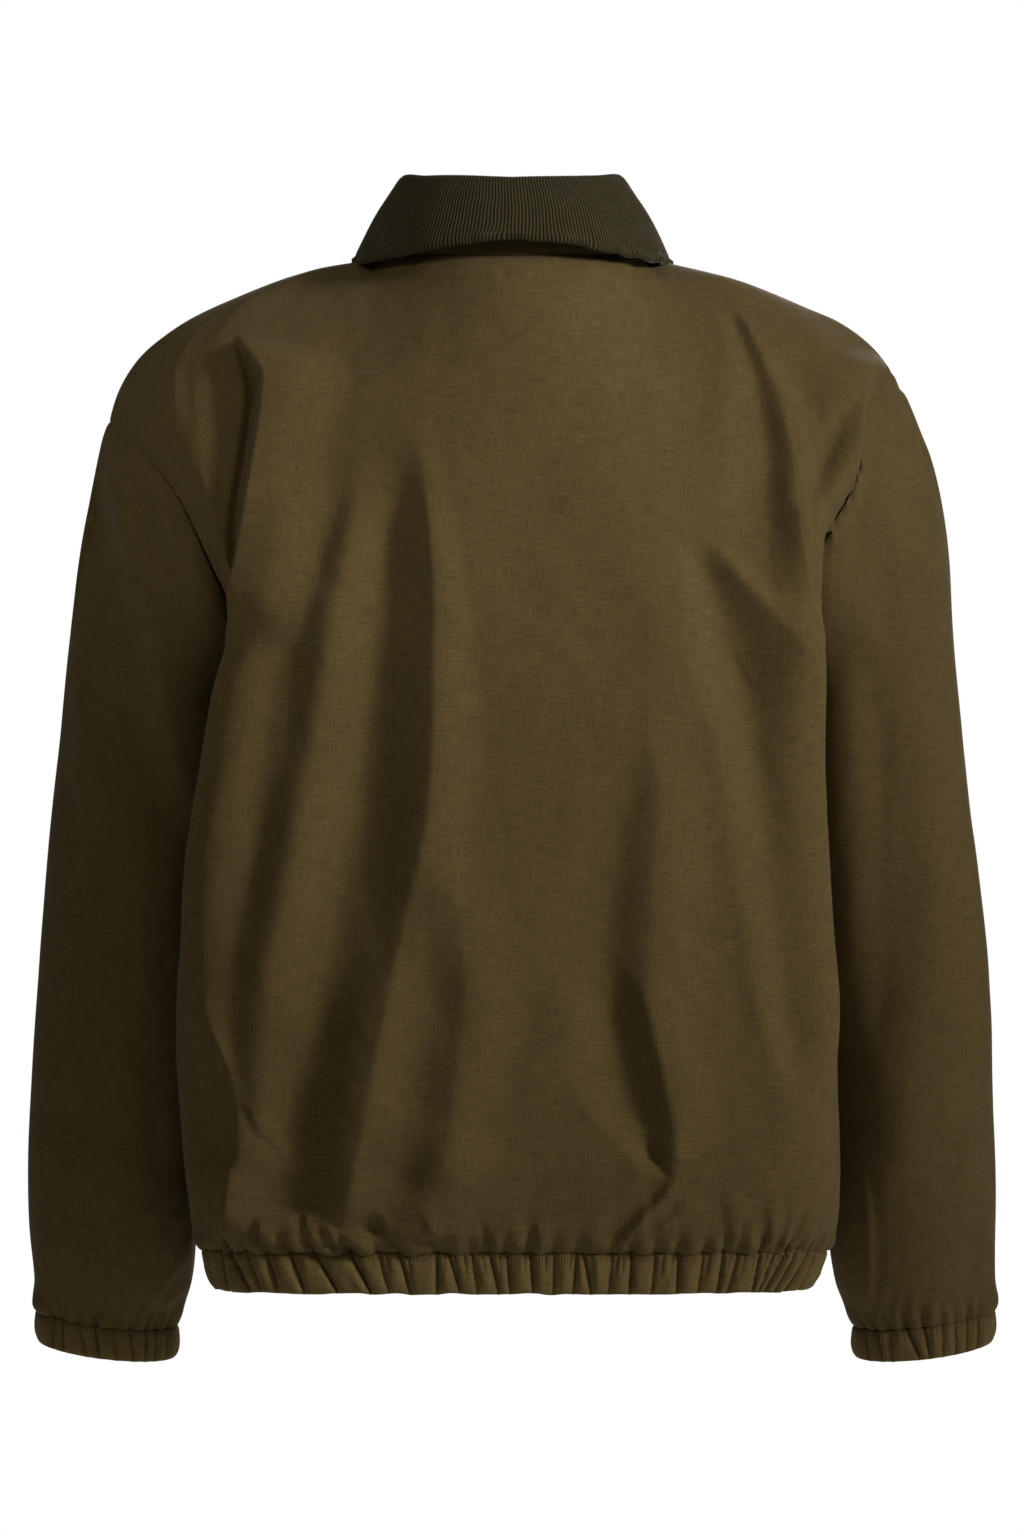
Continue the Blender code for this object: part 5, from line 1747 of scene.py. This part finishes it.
@dataclass
class SleevePieces:
    """A sleeve with its cuff."""

    form: SleeveForm
    side: Side
    shop: Workshop
    cloth: float = 0.0018
    banding: float = 0.0024
    low_band: float = 0.08
    around: int = 210
    row_steps: tuple[int, int, int] = (60, 99, 45)
    cuff_around: int = 480
    cuff_rows: int = 21
    gathers: Gathers = field(init=False)

    # The cloth's small unevenness: height, place and cells round the sleeve, spacing down it.
    UNEVEN: ClassVar[tuple[tuple[float, float, float, float], ...]] = (
        (0.0013, 3, 1.2, 0.11), (0.0006, 9, 3, 0.045),
    )
    FOLDS: ClassVar[dict[Side, tuple[Fold, ...]]] = {
        Side.LEFT: (
            upright(((264, -300, 50), (264, -400, 62), (264, -500, 62), (264, -600, 50)), 13,
                (60, 40), edge=0.0, skirt=1.1),
            upright(((270, -125, 12), (263, -166, 22), (252, -219, 26), (243.6, -258, 26),
                (239, -298, 23), (230, -339, 22), (221, -371, 24), (217, -419, 20)), 42, (60, 90),
                edge=0.7, skirt=2.6, dip=0.55, basin=1.6),
            upright(((252, -105, 16), (244, -160, 24), (234, -220, 28), (226, -285, 22)), 17,
                (40, 50), crest=-1, edge=0.0, skirt=0.9, dip=0.5),
            upright(((222, -440, 18), (222, -489, 20), (226, -554, 20), (229, -606, 16)), 24,
                (30, 30)),
            upright(((266, -114, 3), (262, -150, 4), (251, -187, 4)), 12, (8, 14), edge=0.5),
            upright(((253, -143, 3), (245, -161, 3)), 26, (5, 6), edge=0.5),
            upright(((260, -154, 3), (243.5, -177, 3.5)), 26, (6, 8), edge=0.5),
            upright(((286, -210, 8), (291, -300, 12), (288, -400, 12)), 10, (40, 50)),
            upright(((262, -470, 10), (256, -540, 14), (262, -620, 12)), 13, (40, 40)),
            upright(((309, -580, 3), (309.5, -628, 3)), 26, (16, 14), crest=-1, edge=0.5),
            upright(((309, -680, 2.5), (303, -694, 3)), 40, (5, 3), edge=0.6),
            upright(((221, -668, 3), (226, -680, 4), (243, -701, 3)), 34, (6, 5), crest=-1,
                edge=0.7),
            level(((212, -684, 3), (225, -692, 4), (239, -701, 3)), 30, (6, 5), crest=-1, edge=0.6),
            level(((214, -637, 5), (235, -634, 6), (256, -631, 5)), 14, (12, 12), crest=-1),
            level(((212, -617, 4), (225, -625, 5), (237, -631, 4)), 16, (8, 8), crest=-1),
            upright(((207, -634, 4), (215, -650, 5), (223, -672, 4)), 28, (8, 8), edge=0.5),
            upright(((293, -683, 3), (290, -699, 3)), 34, (6, 3), edge=0.5),
            upright(((270, -660, 5), (266, -700, 5)), 24, (20, 4)),
            upright(((284, -668, 4), (280, -701, 4)), 20, (18, 4)),
            upright(((262, -150, 9), (246, -250, 13), (240, -340, 13), (250, -420, 11)), 20,
                (30, 50), crest=-1, edge=0.4, facing=-1),
            upright(((290, -420, 10), (264, -490, 12), (256, -580, 12)), 17, (40, 40), facing=-1),
            upright(((240, -640, 5), (246, -700, 6)), 22, (24, 5), facing=-1),
            upright(((286, -650, 5), (280, -700, 6)), 20, (24, 5), crest=-1, facing=-1),
            level(((225, -300, 6), (250, -312, 8), (280, -306, 6)), 13, (16, 18), facing=-1),
        ),
        Side.RIGHT: (
            upright(((-246, -440, 34), (-240, -500, 44), (-233, -560, 46), (-226, -630, 38)), 12,
                (60, 40), edge=0.5, skirt=1.0, dip=0.3),
            upright(((-238, -84, 26), (-246, -130, 34), (-254, -190, 40), (-262, -260, 40)), 20,
                (10, 60), edge=0.0, skirt=0.9),
            upright(((-262, -110, 36), (-270, -180, 48), (-280, -280, 52), (-284, -420, 52),
                (-284, -560, 46)), 13, (24, 60), edge=0.0, skirt=1.1),
            upright(((-226, -250, 20), (-231, -330, 24), (-234, -430, 24), (-232, -540, 20)), 17,
                (50, 50), crest=-1, edge=0.0, skirt=1.4),
            upright(((-232, -590, 4), (-236, -620, 4), (-237.5, -697, 4)), 24, (20, 6), crest=-1,
                edge=0.5),
            upright(((-228, -610, 4), (-231, -697, 5)), 24, (24, 5), edge=0.5),
            upright(((-312, -618, 3), (-306, -665, 4), (-300.5, -699, 3)), 24, (16, 4), edge=0.5),
            upright(((-252, -676, 3.5), (-250, -701, 4)), 30, (10, 3), edge=0.5),
            upright(((-262, -680, 3.5), (-259, -701, 4)), 30, (9, 3), edge=0.5),
            upright(((-276, -672, 5), (-272, -701, 5)), 22, (16, 4)),
            upright(((-288, -678, 4), (-290, -701, 4)), 20, (12, 4)),
            upright(((-243, -672, 4), (-240, -700, 4)), 22, (12, 4)),
            upright(((-268, -170, 8), (-282, -260, 12), (-286, -360, 12)), 10, (40, 50), crest=-1),
            upright(((-258, -170, 9), (-242, -290, 12), (-252, -420, 11)), 20, (30, 50), edge=0.4,
                facing=-1),
            upright(((-286, -430, 10), (-262, -510, 12), (-262, -600, 12)), 17, (40, 40), crest=-1,
                facing=-1),
            upright(((-246, -640, 5), (-252, -700, 6)), 22, (24, 5), facing=-1),
            upright(((-292, -640, 5), (-286, -700, 6)), 20, (24, 5), facing=-1),
            level(((-282, -330, 6), (-255, -340, 8), (-228, -334, 6)), 13, (16, 18), facing=-1),
        ),
    }
    # Grooves of each cuff that show from behind: sideways at the seam and foot, and depth.
    CUFF_GROOVES: ClassVar[dict[Side, tuple[Point, ...]]] = {
        Side.LEFT: (
            (303.2, 303.2, 2.0), (296.6, 296.6, 2.2), (286.0, 280.1, 1.8), (274.8, 271.6, 2.8),
            (262.0, 260.0, 1.4), (251.1, 247.9, 2.2), (240.0, 240.0, 2.4), (234.0, 233.5, 1.8),
            (226.0, 227.0, 2.0),
        ),
        Side.RIGHT: (
            (-232.0, -234.5, 2.2), (-239.3, -243.2, 2.2), (-248.0, -250.0, 1.5),
            (-259.7, -268.9, 3.0), (-270.9, -275.5, 2.6), (-283.0, -284.0, 1.3),
            (-292.0, -293.0, 1.6), (-300.5, -300.5, 2.2), (-308.4, -308.4, 2.2),
        ),
    }

    def __post_init__(self) -> None:
        """Lays out the cuff's grooves, the seen ones as listed and the hidden ones like them."""
        ring = self.form.ring(self.side, self.form.cuff_seam, 720)
        closed = np.concatenate([ring, ring[:1]])
        reach = lengths(closed)
        half = slice(0, 361)
        widths = np.abs(ring[half, 0])
        grooves = []
        for at, foot, depth in self.CUFF_GROOVES[self.side]:
            start, end = (float(np.interp(-abs(value) * MM, -widths, reach[half]))
                          for value in (at, foot))
            grooves.append(Groove(start, end - start, depth * MM, 0.01, 0.0))
        generator = np.random.default_rng(81 if self.side is Side.LEFT else 82)
        at = reach[361] + 0.006
        while at < reach[-1] - 0.004:
            ranges = ((-0.004, 0.004), (0.0013, 0.0026), (0.007, 0.014), (-0.1, 0.1))
            grooves.append(Groove(at, *(generator.uniform(low, high) for low, high in ranges)))
            at += generator.uniform(0.006, 0.014)
        for groove in list(grooves):
            if generator.uniform() < 0.6:
                at = groove.at + generator.choice([-1, 1]) * generator.uniform(0.003, 0.0045)
                grooves.append(Groove(at, groove.lean * 0.6, 0.0008, 0.005, 0.0, full=False))
        self.gathers = Gathers(grooves, float(reach[-1]), 83, puff=0.0014, closed=True)

    def _ring_place(self, count: int, height: float) -> Array:
        """The place along the cuff seam of each column of a net."""
        ring = self.form.ring(self.side, height, count)
        return lengths(np.concatenate([ring, ring[:1]]))[:-1]

    def build_sleeve(self) -> Object:
        """The sleeve, one piece with its seam at the underarm."""
        caps, arm, low = self.row_steps
        top, foot = self.form.arm_top, self.form.cuff_seam
        heights = closer_rows(top, foot, self.low_band, arm, low)
        points = self.form.points(self.side, self.around, np.linspace(0, 1, caps + 1), heights)
        net = Net(points, around=True)
        over, down = net.over(), net.down()
        above = down[-1:] - down
        seed = 91 if self.side is Side.LEFT else 95
        height = np.zeros(over.shape)
        for fold in self.FOLDS[self.side]:
            height += fold.height(net.points, net.ways)
        turn = np.arange(self.around) / self.around
        seamless = np.stack([np.cos(TURN * turn), np.sin(TURN * turn)])
        for step, (size, start, cells, spacing) in enumerate(self.UNEVEN):
            across = start + seamless[0] * cells + 0 * down
            height += size * ripple(across, seamless[1] * cells + down / spacing, seed + step)
        height *= ease(down, 0, 0.014) * ease(above, -0.001, 0.004)
        place = np.broadcast_to(self._ring_place(self.around, self.form.cuff_seam), over.shape)
        height += self.gathers.cloth(place, above, 0.9)
        height += seam_roll(above, 0.0012, 0.002) + seam_roll(down, 0.001, 0.0014)
        height += seam_roll(np.abs(turn - 0.5) * over[:, -1:], 0.0008, 0.0016)
        if self.side is Side.RIGHT:
            lumps = np.abs(ripple(over / 0.0048, down / 0.01, 97))
            behind = ease(turn, 0.12, 0.2) * (1 - ease(turn, 0.4, 0.47))
            height += 0.003 * bell(down, 0.009) * (lumps - 0.35) * behind
        name = "sleeve_" + self.side.value
        shell = Shell(net, height, self.cloth, over, -above)
        piece = self.shop.place(shell.mesh(name + "_piece"), self.shop.cotton, "slub_cloth", name)
        return piece

    def build_cuff(self) -> Object:
        """The doubled cuff, drawn in by its elastic."""
        shares = np.linspace(0, 1, self.cuff_rows + 1)
        seam, count = self.form.cuff_seam, self.cuff_around
        top = self.form.ring(self.side, seam, count)
        foot = self.form.ring(self.side, seam - self.form.cuff_height, count)
        net = Net(np.array([top + (foot - top) * share for share in shares]), around=True)
        down = net.down()
        over = np.broadcast_to(self._ring_place(count, seam), down.shape)
        share = np.broadcast_to(shares[:, None], down.shape)
        height = self.gathers.band(over, share)
        height += seam_roll(down, 0.0013, 0.0013) + seam_roll(down[-1:] - down, 0.0012, 0.0012)
        shift = np.zeros(net.points.shape)
        low_half = np.where(share > 0.5, share * 2 - 1, 0)
        shift[..., 2] = low_half * 0.3 * np.clip(height, -0.003, 0.003)
        name = "cuff_" + self.side.value
        shell = Shell(net, height, self.banding, over, down, shift)
        piece = self.shop.place(shell.mesh(name + "_piece"), self.shop.banding, "slub_cloth", name)
        return piece


@dataclass
class CollarPieces:
    """The stand in body cloth, and the turned-down top collar in needlecord."""

    trunk: Trunk
    shop: Workshop
    cloth: float = 0.0018
    pitch: float = Needlecord.pitch
    wale_height: float = 0.0004
    columns: int = 1740
    stand_columns: int = 300
    fall_rows: int = 24
    bow: float = 0.003
    stitch_line: float = 0.0064

    EDGE: ClassVar[tuple[Point, ...]] = (
        (0.0, 0.088, 0.0052), (0.0344, 0.085, 0.0025), (0.0571, 0.076, -0.001),
        (0.0776, 0.058, -0.0046), (0.097, 0.028, -0.006), (0.105, -0.005, -0.0056),
        (0.106, -0.038, -0.01), (0.098, -0.072, -0.027), (0.08, -0.1, -0.06),
        (0.056, -0.113, -0.096),
    )
    CREST: ClassVar[tuple[Pair, ...]] = (
        (0.06, -0.0046), (0.3, -0.0046), (0.55, -0.0046), (0.75, -0.0045), (0.9, -0.0042),
        (0.965, -0.0034), (1.0, -0.0022), (1.015, -0.0004), (1.01, 0.0015), (0.98, 0.0031),
        (0.93, 0.0042),
    )

    def angles(self, columns: int) -> Array:
        """Angles round the neck, from the left front edge by the back to the right one."""
        last = self.trunk.neck_front_angle
        fine = np.linspace(last, -last, 1201)
        neck = self.trunk.neck_point(np.abs(fine), np.where(fine < 0, -1.0, 1.0))
        reach = lengths((neck + self.edge_points(fine)) / 2)
        return np.interp(np.linspace(0, reach[-1], columns + 1), reach, fine)

    def line(self, angles: Array, share: float, offset: float) -> Array:
        """Points of the stand at one level.

        Args:
            angles: The angles round the neck.
            share: The level, from 0 at the neck seam to 1 at the crest.
            offset: How far outward they are moved.

        Returns:
            One point for each angle.
        """
        size = np.abs(angles)
        sign = np.where(angles < 0, -1.0, 1.0)
        turn = np.radians(size)
        across = np.stack([sign * np.sin(turn), np.cos(turn), 0 * turn], axis=-1)
        reach = offset - self.trunk.neck.read("lean", size) * share
        points = self.trunk.neck_point(size, sign) + across * reach[:, None]
        points[:, 2] += self.trunk.neck.read("stand_height", size) * share
        return points

    def edge_points(self, angles: Array) -> Array:
        """The fall's free edge, spread evenly round the neck."""
        points = along(self.EDGE, np.abs(angles) / self.trunk.neck_front_angle)
        points[:, 0] *= np.where(angles < 0, -1.0, 1.0)
        return points

    def build_stand(self) -> Object:
        """The stand, which rises from the neck seam inside the fold."""
        angles = self.angles(self.stand_columns)
        rows = [self.line(angles, share, 0.0) for share in np.linspace(0.88, 0.02, 11)]
        rows += [self.line(angles, share, -0.0016 - 0.01 * abs(share))
                 for share in (-0.02, -0.06)]
        net = Net(np.array(rows))
        over, down = net.over(), net.down()
        height = seam_roll(down[-1:] - down, 0.0008, 0.0016)
        height = height + 0.0002 * ripple(over / 0.01, down / 0.01, 5)
        mesh = Shell(net, height, self.cloth, over, down).mesh("collar_stand_piece")
        piece = self.shop.place(mesh, self.shop.cotton, "slub_cloth", "collar_stand")
        return piece

    def build_fall(self) -> Object:
        """The top collar: up inside the stand, over the crest and down to its free edge."""
        angles = self.angles(self.columns)
        rows = [self.line(angles, share, offset) for share, offset in self.CREST]
        shoulder, edge = rows[-1], self.edge_points(angles)
        for share in np.linspace(0, 1, self.fall_rows)[1:]:
            bow = np.array([0, 0, self.bow * math.sin(math.pi * share)])
            rows.append(shoulder + (edge - shoulder) * share + bow)
        net = Net(np.array(rows))
        down = net.down()
        total = lengths((shoulder + edge) / 2)
        place = total - total[len(total) // 2]
        above = down[-1:] - down
        near_edge = bell(above, 0.0062)

        def uneven(size: float, across: float, along_down: float, seed: int) -> Array:
            """Small unevenness of a size, with its spacing across and down."""
            return size * ripple(place / across + 0 * down, down / along_down, seed)

        sway = uneven(0.0009, 0.011, 0.01, 6) * (0.35 + 2.2 * near_edge)
        sway += uneven(0.0012, 0.05, 0.04, 16)
        over = place + sway
        ridges = 0.5 + 0.5 * np.cos(TURN * over / self.pitch)
        height = self.wale_height * (np.sqrt(ridges) - 0.5) * ease(down, 0, 0.004)
        height += uneven(0.0016, 0.0085, 0.03, 7) * near_edge
        height += uneven(0.0007, 0.045, 0.03, 8) * ease(down, 0.04, 0.06)
        height -= 0.001 * bell(above - self.stitch_line, 0.0011)
        height += 0.0006 * bell(above - self.stitch_line / 2, 0.0018)
        height += seam_roll(above, 0.0012, 0.0009)
        shift = np.zeros(net.points.shape)
        waves = 0.0006 * ripple(place / 0.012 + 0 * down, 0 * down, 9)
        shift[..., 2] = waves * bell(above, 0.004)
        mesh = Shell(net, height, self.cloth, over, down, shift).mesh("collar_fall_piece")
        piece = self.shop.place(mesh, self.shop.cord, "corduroy", "collar_fall")
        return piece


@dataclass
class ZipPieces:
    """The zip: its two tapes, its teeth, and the finish of its slider, tab and box."""

    trunk: Trunk
    shop: Workshop
    cloth: float = 0.0018
    tape: float = 0.001
    seam_gap: float = 0.0004
    width: float = 0.0125
    half_gap: float = 0.0004
    pitch: float = 0.0025
    rib_height: float = 0.00012
    yoke_rows: int = 84
    low_rows: int = 118
    columns: int = 13
    foot_rows: int = 10

    def edge(self, side: Side, columns: Array) -> Array:
        """Points of a front near the zip, rows from the neck to the hem seam."""
        heights = np.linspace(self.trunk.underarm, self.trunk.hem_seam, self.low_rows)[1:]
        downs = np.linspace(0, 1, self.yoke_rows)
        return self.trunk.panel(side, Face.FRONT, columns, downs, heights)

    def tape_points(self, side: Side) -> Array:
        """A tape's points, behind the front's edge, from the neck to the hem band's foot.

        Args:
            side: The wearer's side.

        Returns:
            Rows of points.
        """
        near = self.edge(side, np.array([0.0, 0.02, 1.0]))
        edge = near[:, 0]
        way = unit(np.cross(near[:, 1] - edge, np.gradient(edge, axis=0)))
        way *= np.where(way[:, 1:2] > 0, -1.0, 1.0)
        deeper = edge - way * (self.cloth + self.seam_gap + 0.0004)
        slope = (near[:, 1, 1] - edge[:, 1]) / np.abs(near[:, 1, 0] - edge[:, 0])
        columns = []
        for across in np.linspace(self.half_gap, self.width, self.columns):
            points = deeper.copy()
            points[:, 0] = side.sign * across
            points[:, 1] += slope * max(across - self.trunk.zip_half_width, 0.0)
            columns.append(points)
        net = np.stack(columns, axis=1)
        seam = net[-1].copy()
        seam[:, 1] += 0.0006 + 2 * self.seam_gap
        low = seam.copy()
        front_at = self.trunk.sizes.read
        low[:, 1] += float(front_at("front", self.trunk.hem_seam)
                           - front_at("front", self.trunk.hem_foot))
        low[:, 2] = self.trunk.hem_foot + 0.0015
        foot = [seam + (low - seam) * share for share in np.linspace(0, 1, self.foot_rows)]
        rows = np.concatenate([net[:-1], foot])
        return rows[(len(rows) - 1) % 3:]

    def build(self) -> None:
        """The tapes and teeth, and brass on the solids that stay."""
        for side in Side:
            points = self.tape_points(side)
            net = Net(points)
            net.ways = np.broadcast_to(np.array([0.0, -1.0, 0.0]), points.shape).copy()
            over, down = net.over(), net.down()
            ribs = np.cos(TURN * over / RibTape.cord_pitch) * ease(over, 0.001, 0.002)
            height = self.rib_height * ribs
            shell = Shell(net, height, self.tape, over, down)
            name = "zip_tape_" + side.value
            piece = self.shop.place(shell.mesh(name + "_piece"), self.shop.tape, "zip_tape", name)
        self.teeth()
        for name in ("zip_slider", "zip_pull", "zip_box"):
            node = bpy.data.objects[name]
            for slot in node.material_slots:
                slot.material = self.shop.brass
            LOG.info("%s: the solid itself, in %s", name, self.shop.brass.name)

    def teeth(self) -> Object:
        """The closed teeth, left and right in turn, from the neck to the hem."""
        left = self.tape_points(Side.LEFT)[:, 0]
        line = left * np.array([0.0, 1.0, 1.0]) + np.array([0.0, -0.0001, 0.0])
        reach = lengths(line)
        marks = np.arange(0.004, reach[-1] - 0.013, self.pitch / 2)
        points = []
        faces = []
        for number, mark in enumerate(marks):
            sign = 1.0 if number % 2 else -1.0
            middle = read_line(mark, reach, line)
            run = unit(read_line(mark + MM, reach, line) - middle)
            off = unit(np.cross(run, np.array([1.0, 0.0, 0.0])))
            off = off if off[1] < 0 else -off
            points.append(self._tooth(middle, run, off, sign))
            faces.append(BAR_FACES + 16 * number)
        mesh = bpy.data.meshes.new("zip_teeth")
        mesh.from_pydata(np.concatenate(points).tolist(), [], np.concatenate(faces).tolist())
        mesh.validate()
        return self.shop.place(mesh, self.shop.brass, "zip_metal")

    @staticmethod
    def _tooth(middle: Array, run: Array, off: Array, sign: float) -> Array:
        """One tooth: a small blunt wedge clamped on its tape, its head past the middle.

        Args:
            middle: Its place on the zip's middle line.
            run: The way along the zip.
            off: The way off the cloth.
            sign: +1 for a tooth whose head points to the wearer's left.

        Returns:
            Sixteen points.
        """
        across = np.array([sign, 0.0, 0.0])
        rings = []
        for reach, half, low, high in (
            (-0.0006, 0.0004, 0.0001, 0.0009), (0.0004, 0.00058, 0.0, 0.0013),
            (0.002, 0.00052, 0.0, 0.0013), (0.0026, 0.00036, 0.0, 0.0008),
        ):
            centre = middle + across * reach
            rings.append([centre - run * half + off * low, centre + run * half + off * low,
                          centre + run * half + off * high, centre - run * half + off * high])
        return np.array(rings).reshape(-1, 3)


@dataclass(frozen=True)
class Studio:
    """The camera, the soft lights, the white surround and the pale floor."""

    distance: float = 5.0
    eye_height: float = -0.337
    frame_height: float = 1.009
    sensor: float = 36.0
    floor_height: float = -1.6
    floor_radius: float = 3.0
    surround_light: float = 0.12
    surround_tint: tuple[float, float, float, float] = (0.95, 1.0, 0.78, 1.0)
    beam_radius: float = 0.35

    # Soft square lights: name, place, aim, width and power.
    PANELS: ClassVar[tuple[tuple[str, Point, Point, float, float], ...]] = (
        ("key", (-2.7, 1.65, 0.85), (0.0, 0.0, -0.2), 0.8, 22.0),
        ("fill", (-0.2, 2.8, 3.0), (0.0, 0.0, -0.3), 1.6, 11.0),
        ("front", (-0.6, -3.8, 1.4), (0.0, 0.0, -0.3), 2.0, 180.0),
    )
    # Soft beams: name, place, aim, power, cone in degrees, and the share its width is kept to.
    BEAMS: ClassVar[tuple[tuple[str, Point, Point, float, float, float], ...]] = (
        ("key_grid", (-2.7, 1.65, 0.85), (0.18, 0.05, -0.2), 430.0, 30.0, 0.42),
        ("collar_light", (1.5, 2.3, 1.2), (0.06, 0.07, 0.02), 430.0, 7.0, 1.0),
    )

    def build(self) -> None:
        """Makes all of it."""
        self._camera()
        self._surround()
        for name, place, aim, width, power in self.PANELS:
            self._light(name, place, aim, width, power)
        for name, place, aim, power, cone, squeeze in self.BEAMS:
            self._spot(name, place, aim, power, cone, squeeze)
        self._floor()
        bpy.context.scene.view_settings.view_transform = "Standard"

    def _camera(self) -> None:
        """The camera, square to the back at the height of the jacket's middle."""
        data = bpy.data.cameras.new("camera")
        data.sensor_fit = "VERTICAL"
        data.sensor_height = self.sensor
        data.lens = self.sensor * self.distance / self.frame_height
        camera = bpy.data.objects.new("camera", data)
        camera.location = (0.0, self.distance, self.eye_height)
        camera.rotation_euler = (math.radians(90), 0.0, math.radians(180))
        bpy.context.scene.collection.objects.link(camera)
        bpy.context.scene.camera = camera

    def _surround(self) -> None:
        """A white surround that lights the cloth only softly."""
        world = bpy.data.worlds.new("surround")
        world.use_nodes = True
        bpy.context.scene.world = world
        tree = world.node_tree
        ray = tree.nodes.new("ShaderNodeLightPath")
        strength = tree.nodes.new("ShaderNodeMapRange")
        strength.inputs["To Min"].default_value = self.surround_light
        strength.inputs["To Max"].default_value = 1.0
        tint = tree.nodes.new("ShaderNodeMix")
        tint.data_type = "RGBA"
        tint.inputs[6].default_value = self.surround_tint
        tint.inputs[7].default_value = (1.0, 1.0, 1.0, 1.0)
        shader = tree.nodes["Background"]
        for start, end in (
            (ray.outputs["Is Camera Ray"], strength.inputs["Value"]),
            (ray.outputs["Is Camera Ray"], tint.inputs[0]),
            (tint.outputs[2], shader.inputs["Color"]),
            (strength.outputs["Result"], shader.inputs["Strength"]),
        ):
            tree.links.new(start, end)

    @staticmethod
    def _hang(data: bpy.types.Light, place: Point, aim: Point) -> Object:
        """Puts a light at a place, aimed at a point."""
        light = bpy.data.objects.new(data.name, data)
        light.location = place
        light.rotation_euler = (Vector(aim) - Vector(place)).to_track_quat("-Z", "Y").to_euler()
        bpy.context.scene.collection.objects.link(light)
        return light

    def _light(self, name: str, place: Point, aim: Point, width: float, power: float) -> None:
        """One soft square light.

        Args:
            name: Its name.
            place: Where it hangs.
            aim: The point that it looks at.
            width: Its width and height.
            power: Its power in watts.
        """
        data = bpy.data.lights.new(name, "AREA")
        data.shape = "RECTANGLE"
        data.size = data.size_y = width
        data.energy = power
        self._hang(data, place, aim)

    def _spot(
        self, name: str, place: Point, aim: Point, power: float, cone: float, squeeze: float
    ) -> None:
        """One soft beam.

        Args:
            name: Its name.
            place: Where it hangs.
            aim: The point that it looks at.
            power: Its power in watts.
            cone: The angle of its cone in degrees.
            squeeze: The share that its width is kept to.
        """
        data = bpy.data.lights.new(name, "SPOT")
        data.energy = power
        data.spot_size = math.radians(cone)
        data.spot_blend = 1.0
        data.shadow_soft_size = self.beam_radius
        self._hang(data, place, aim).scale = (squeeze, 1.0, 1.0)

    def _floor(self) -> None:
        """A pale round floor well below the jacket."""
        count = 96
        radius = self.floor_radius
        rim = [(radius * math.cos(turn), radius * math.sin(turn), self.floor_height)
               for turn in (TURN * k / count for k in range(count))]
        mesh = bpy.data.meshes.new("floor")
        mesh.from_pydata(rim, [], [list(range(count))])
        nodes = Nodes.start("pale_floor")
        place = nodes.add("ShaderNodeTexCoord", {}).outputs["Object"]
        grain = nodes.noise(place, 60.0, 60.0, 1.0, 2.0)
        colour = nodes.tint((0.86, 0.86, 0.85, 1), nodes.stretch(grain, 0.97, 1.02))
        mesh.materials.append(nodes.finish(colour, 0.8, 0.0))
        floor = bpy.data.objects.new("floor", mesh)
        bpy.context.scene.collection.objects.link(floor)


def main() -> None:
    """Builds the jacket's pieces in order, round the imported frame."""
    logging.basicConfig(level=logging.INFO, format="%(name)s: %(message)s")
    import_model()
    shop = Workshop.open()
    trunk = Trunk()
    body = BodyPieces(trunk, shop)
    collar = CollarPieces(trunk, shop)
    collar.build_stand()
    body.build_back()
    for side in Side:
        body.build_front(side)
    body.build_hem()
    form = SleeveForm(trunk)
    for side in Side:
        sleeve = SleevePieces(form, side, shop)
        sleeve.build_sleeve()
        sleeve.build_cuff()
    collar.build_fall()
    ZipPieces(trunk, shop).build()
    shop.place(stitches("stitches", body.runs), shop.thread, "slub_cloth")
    Studio().build()


if __name__ == "__main__":
    main()
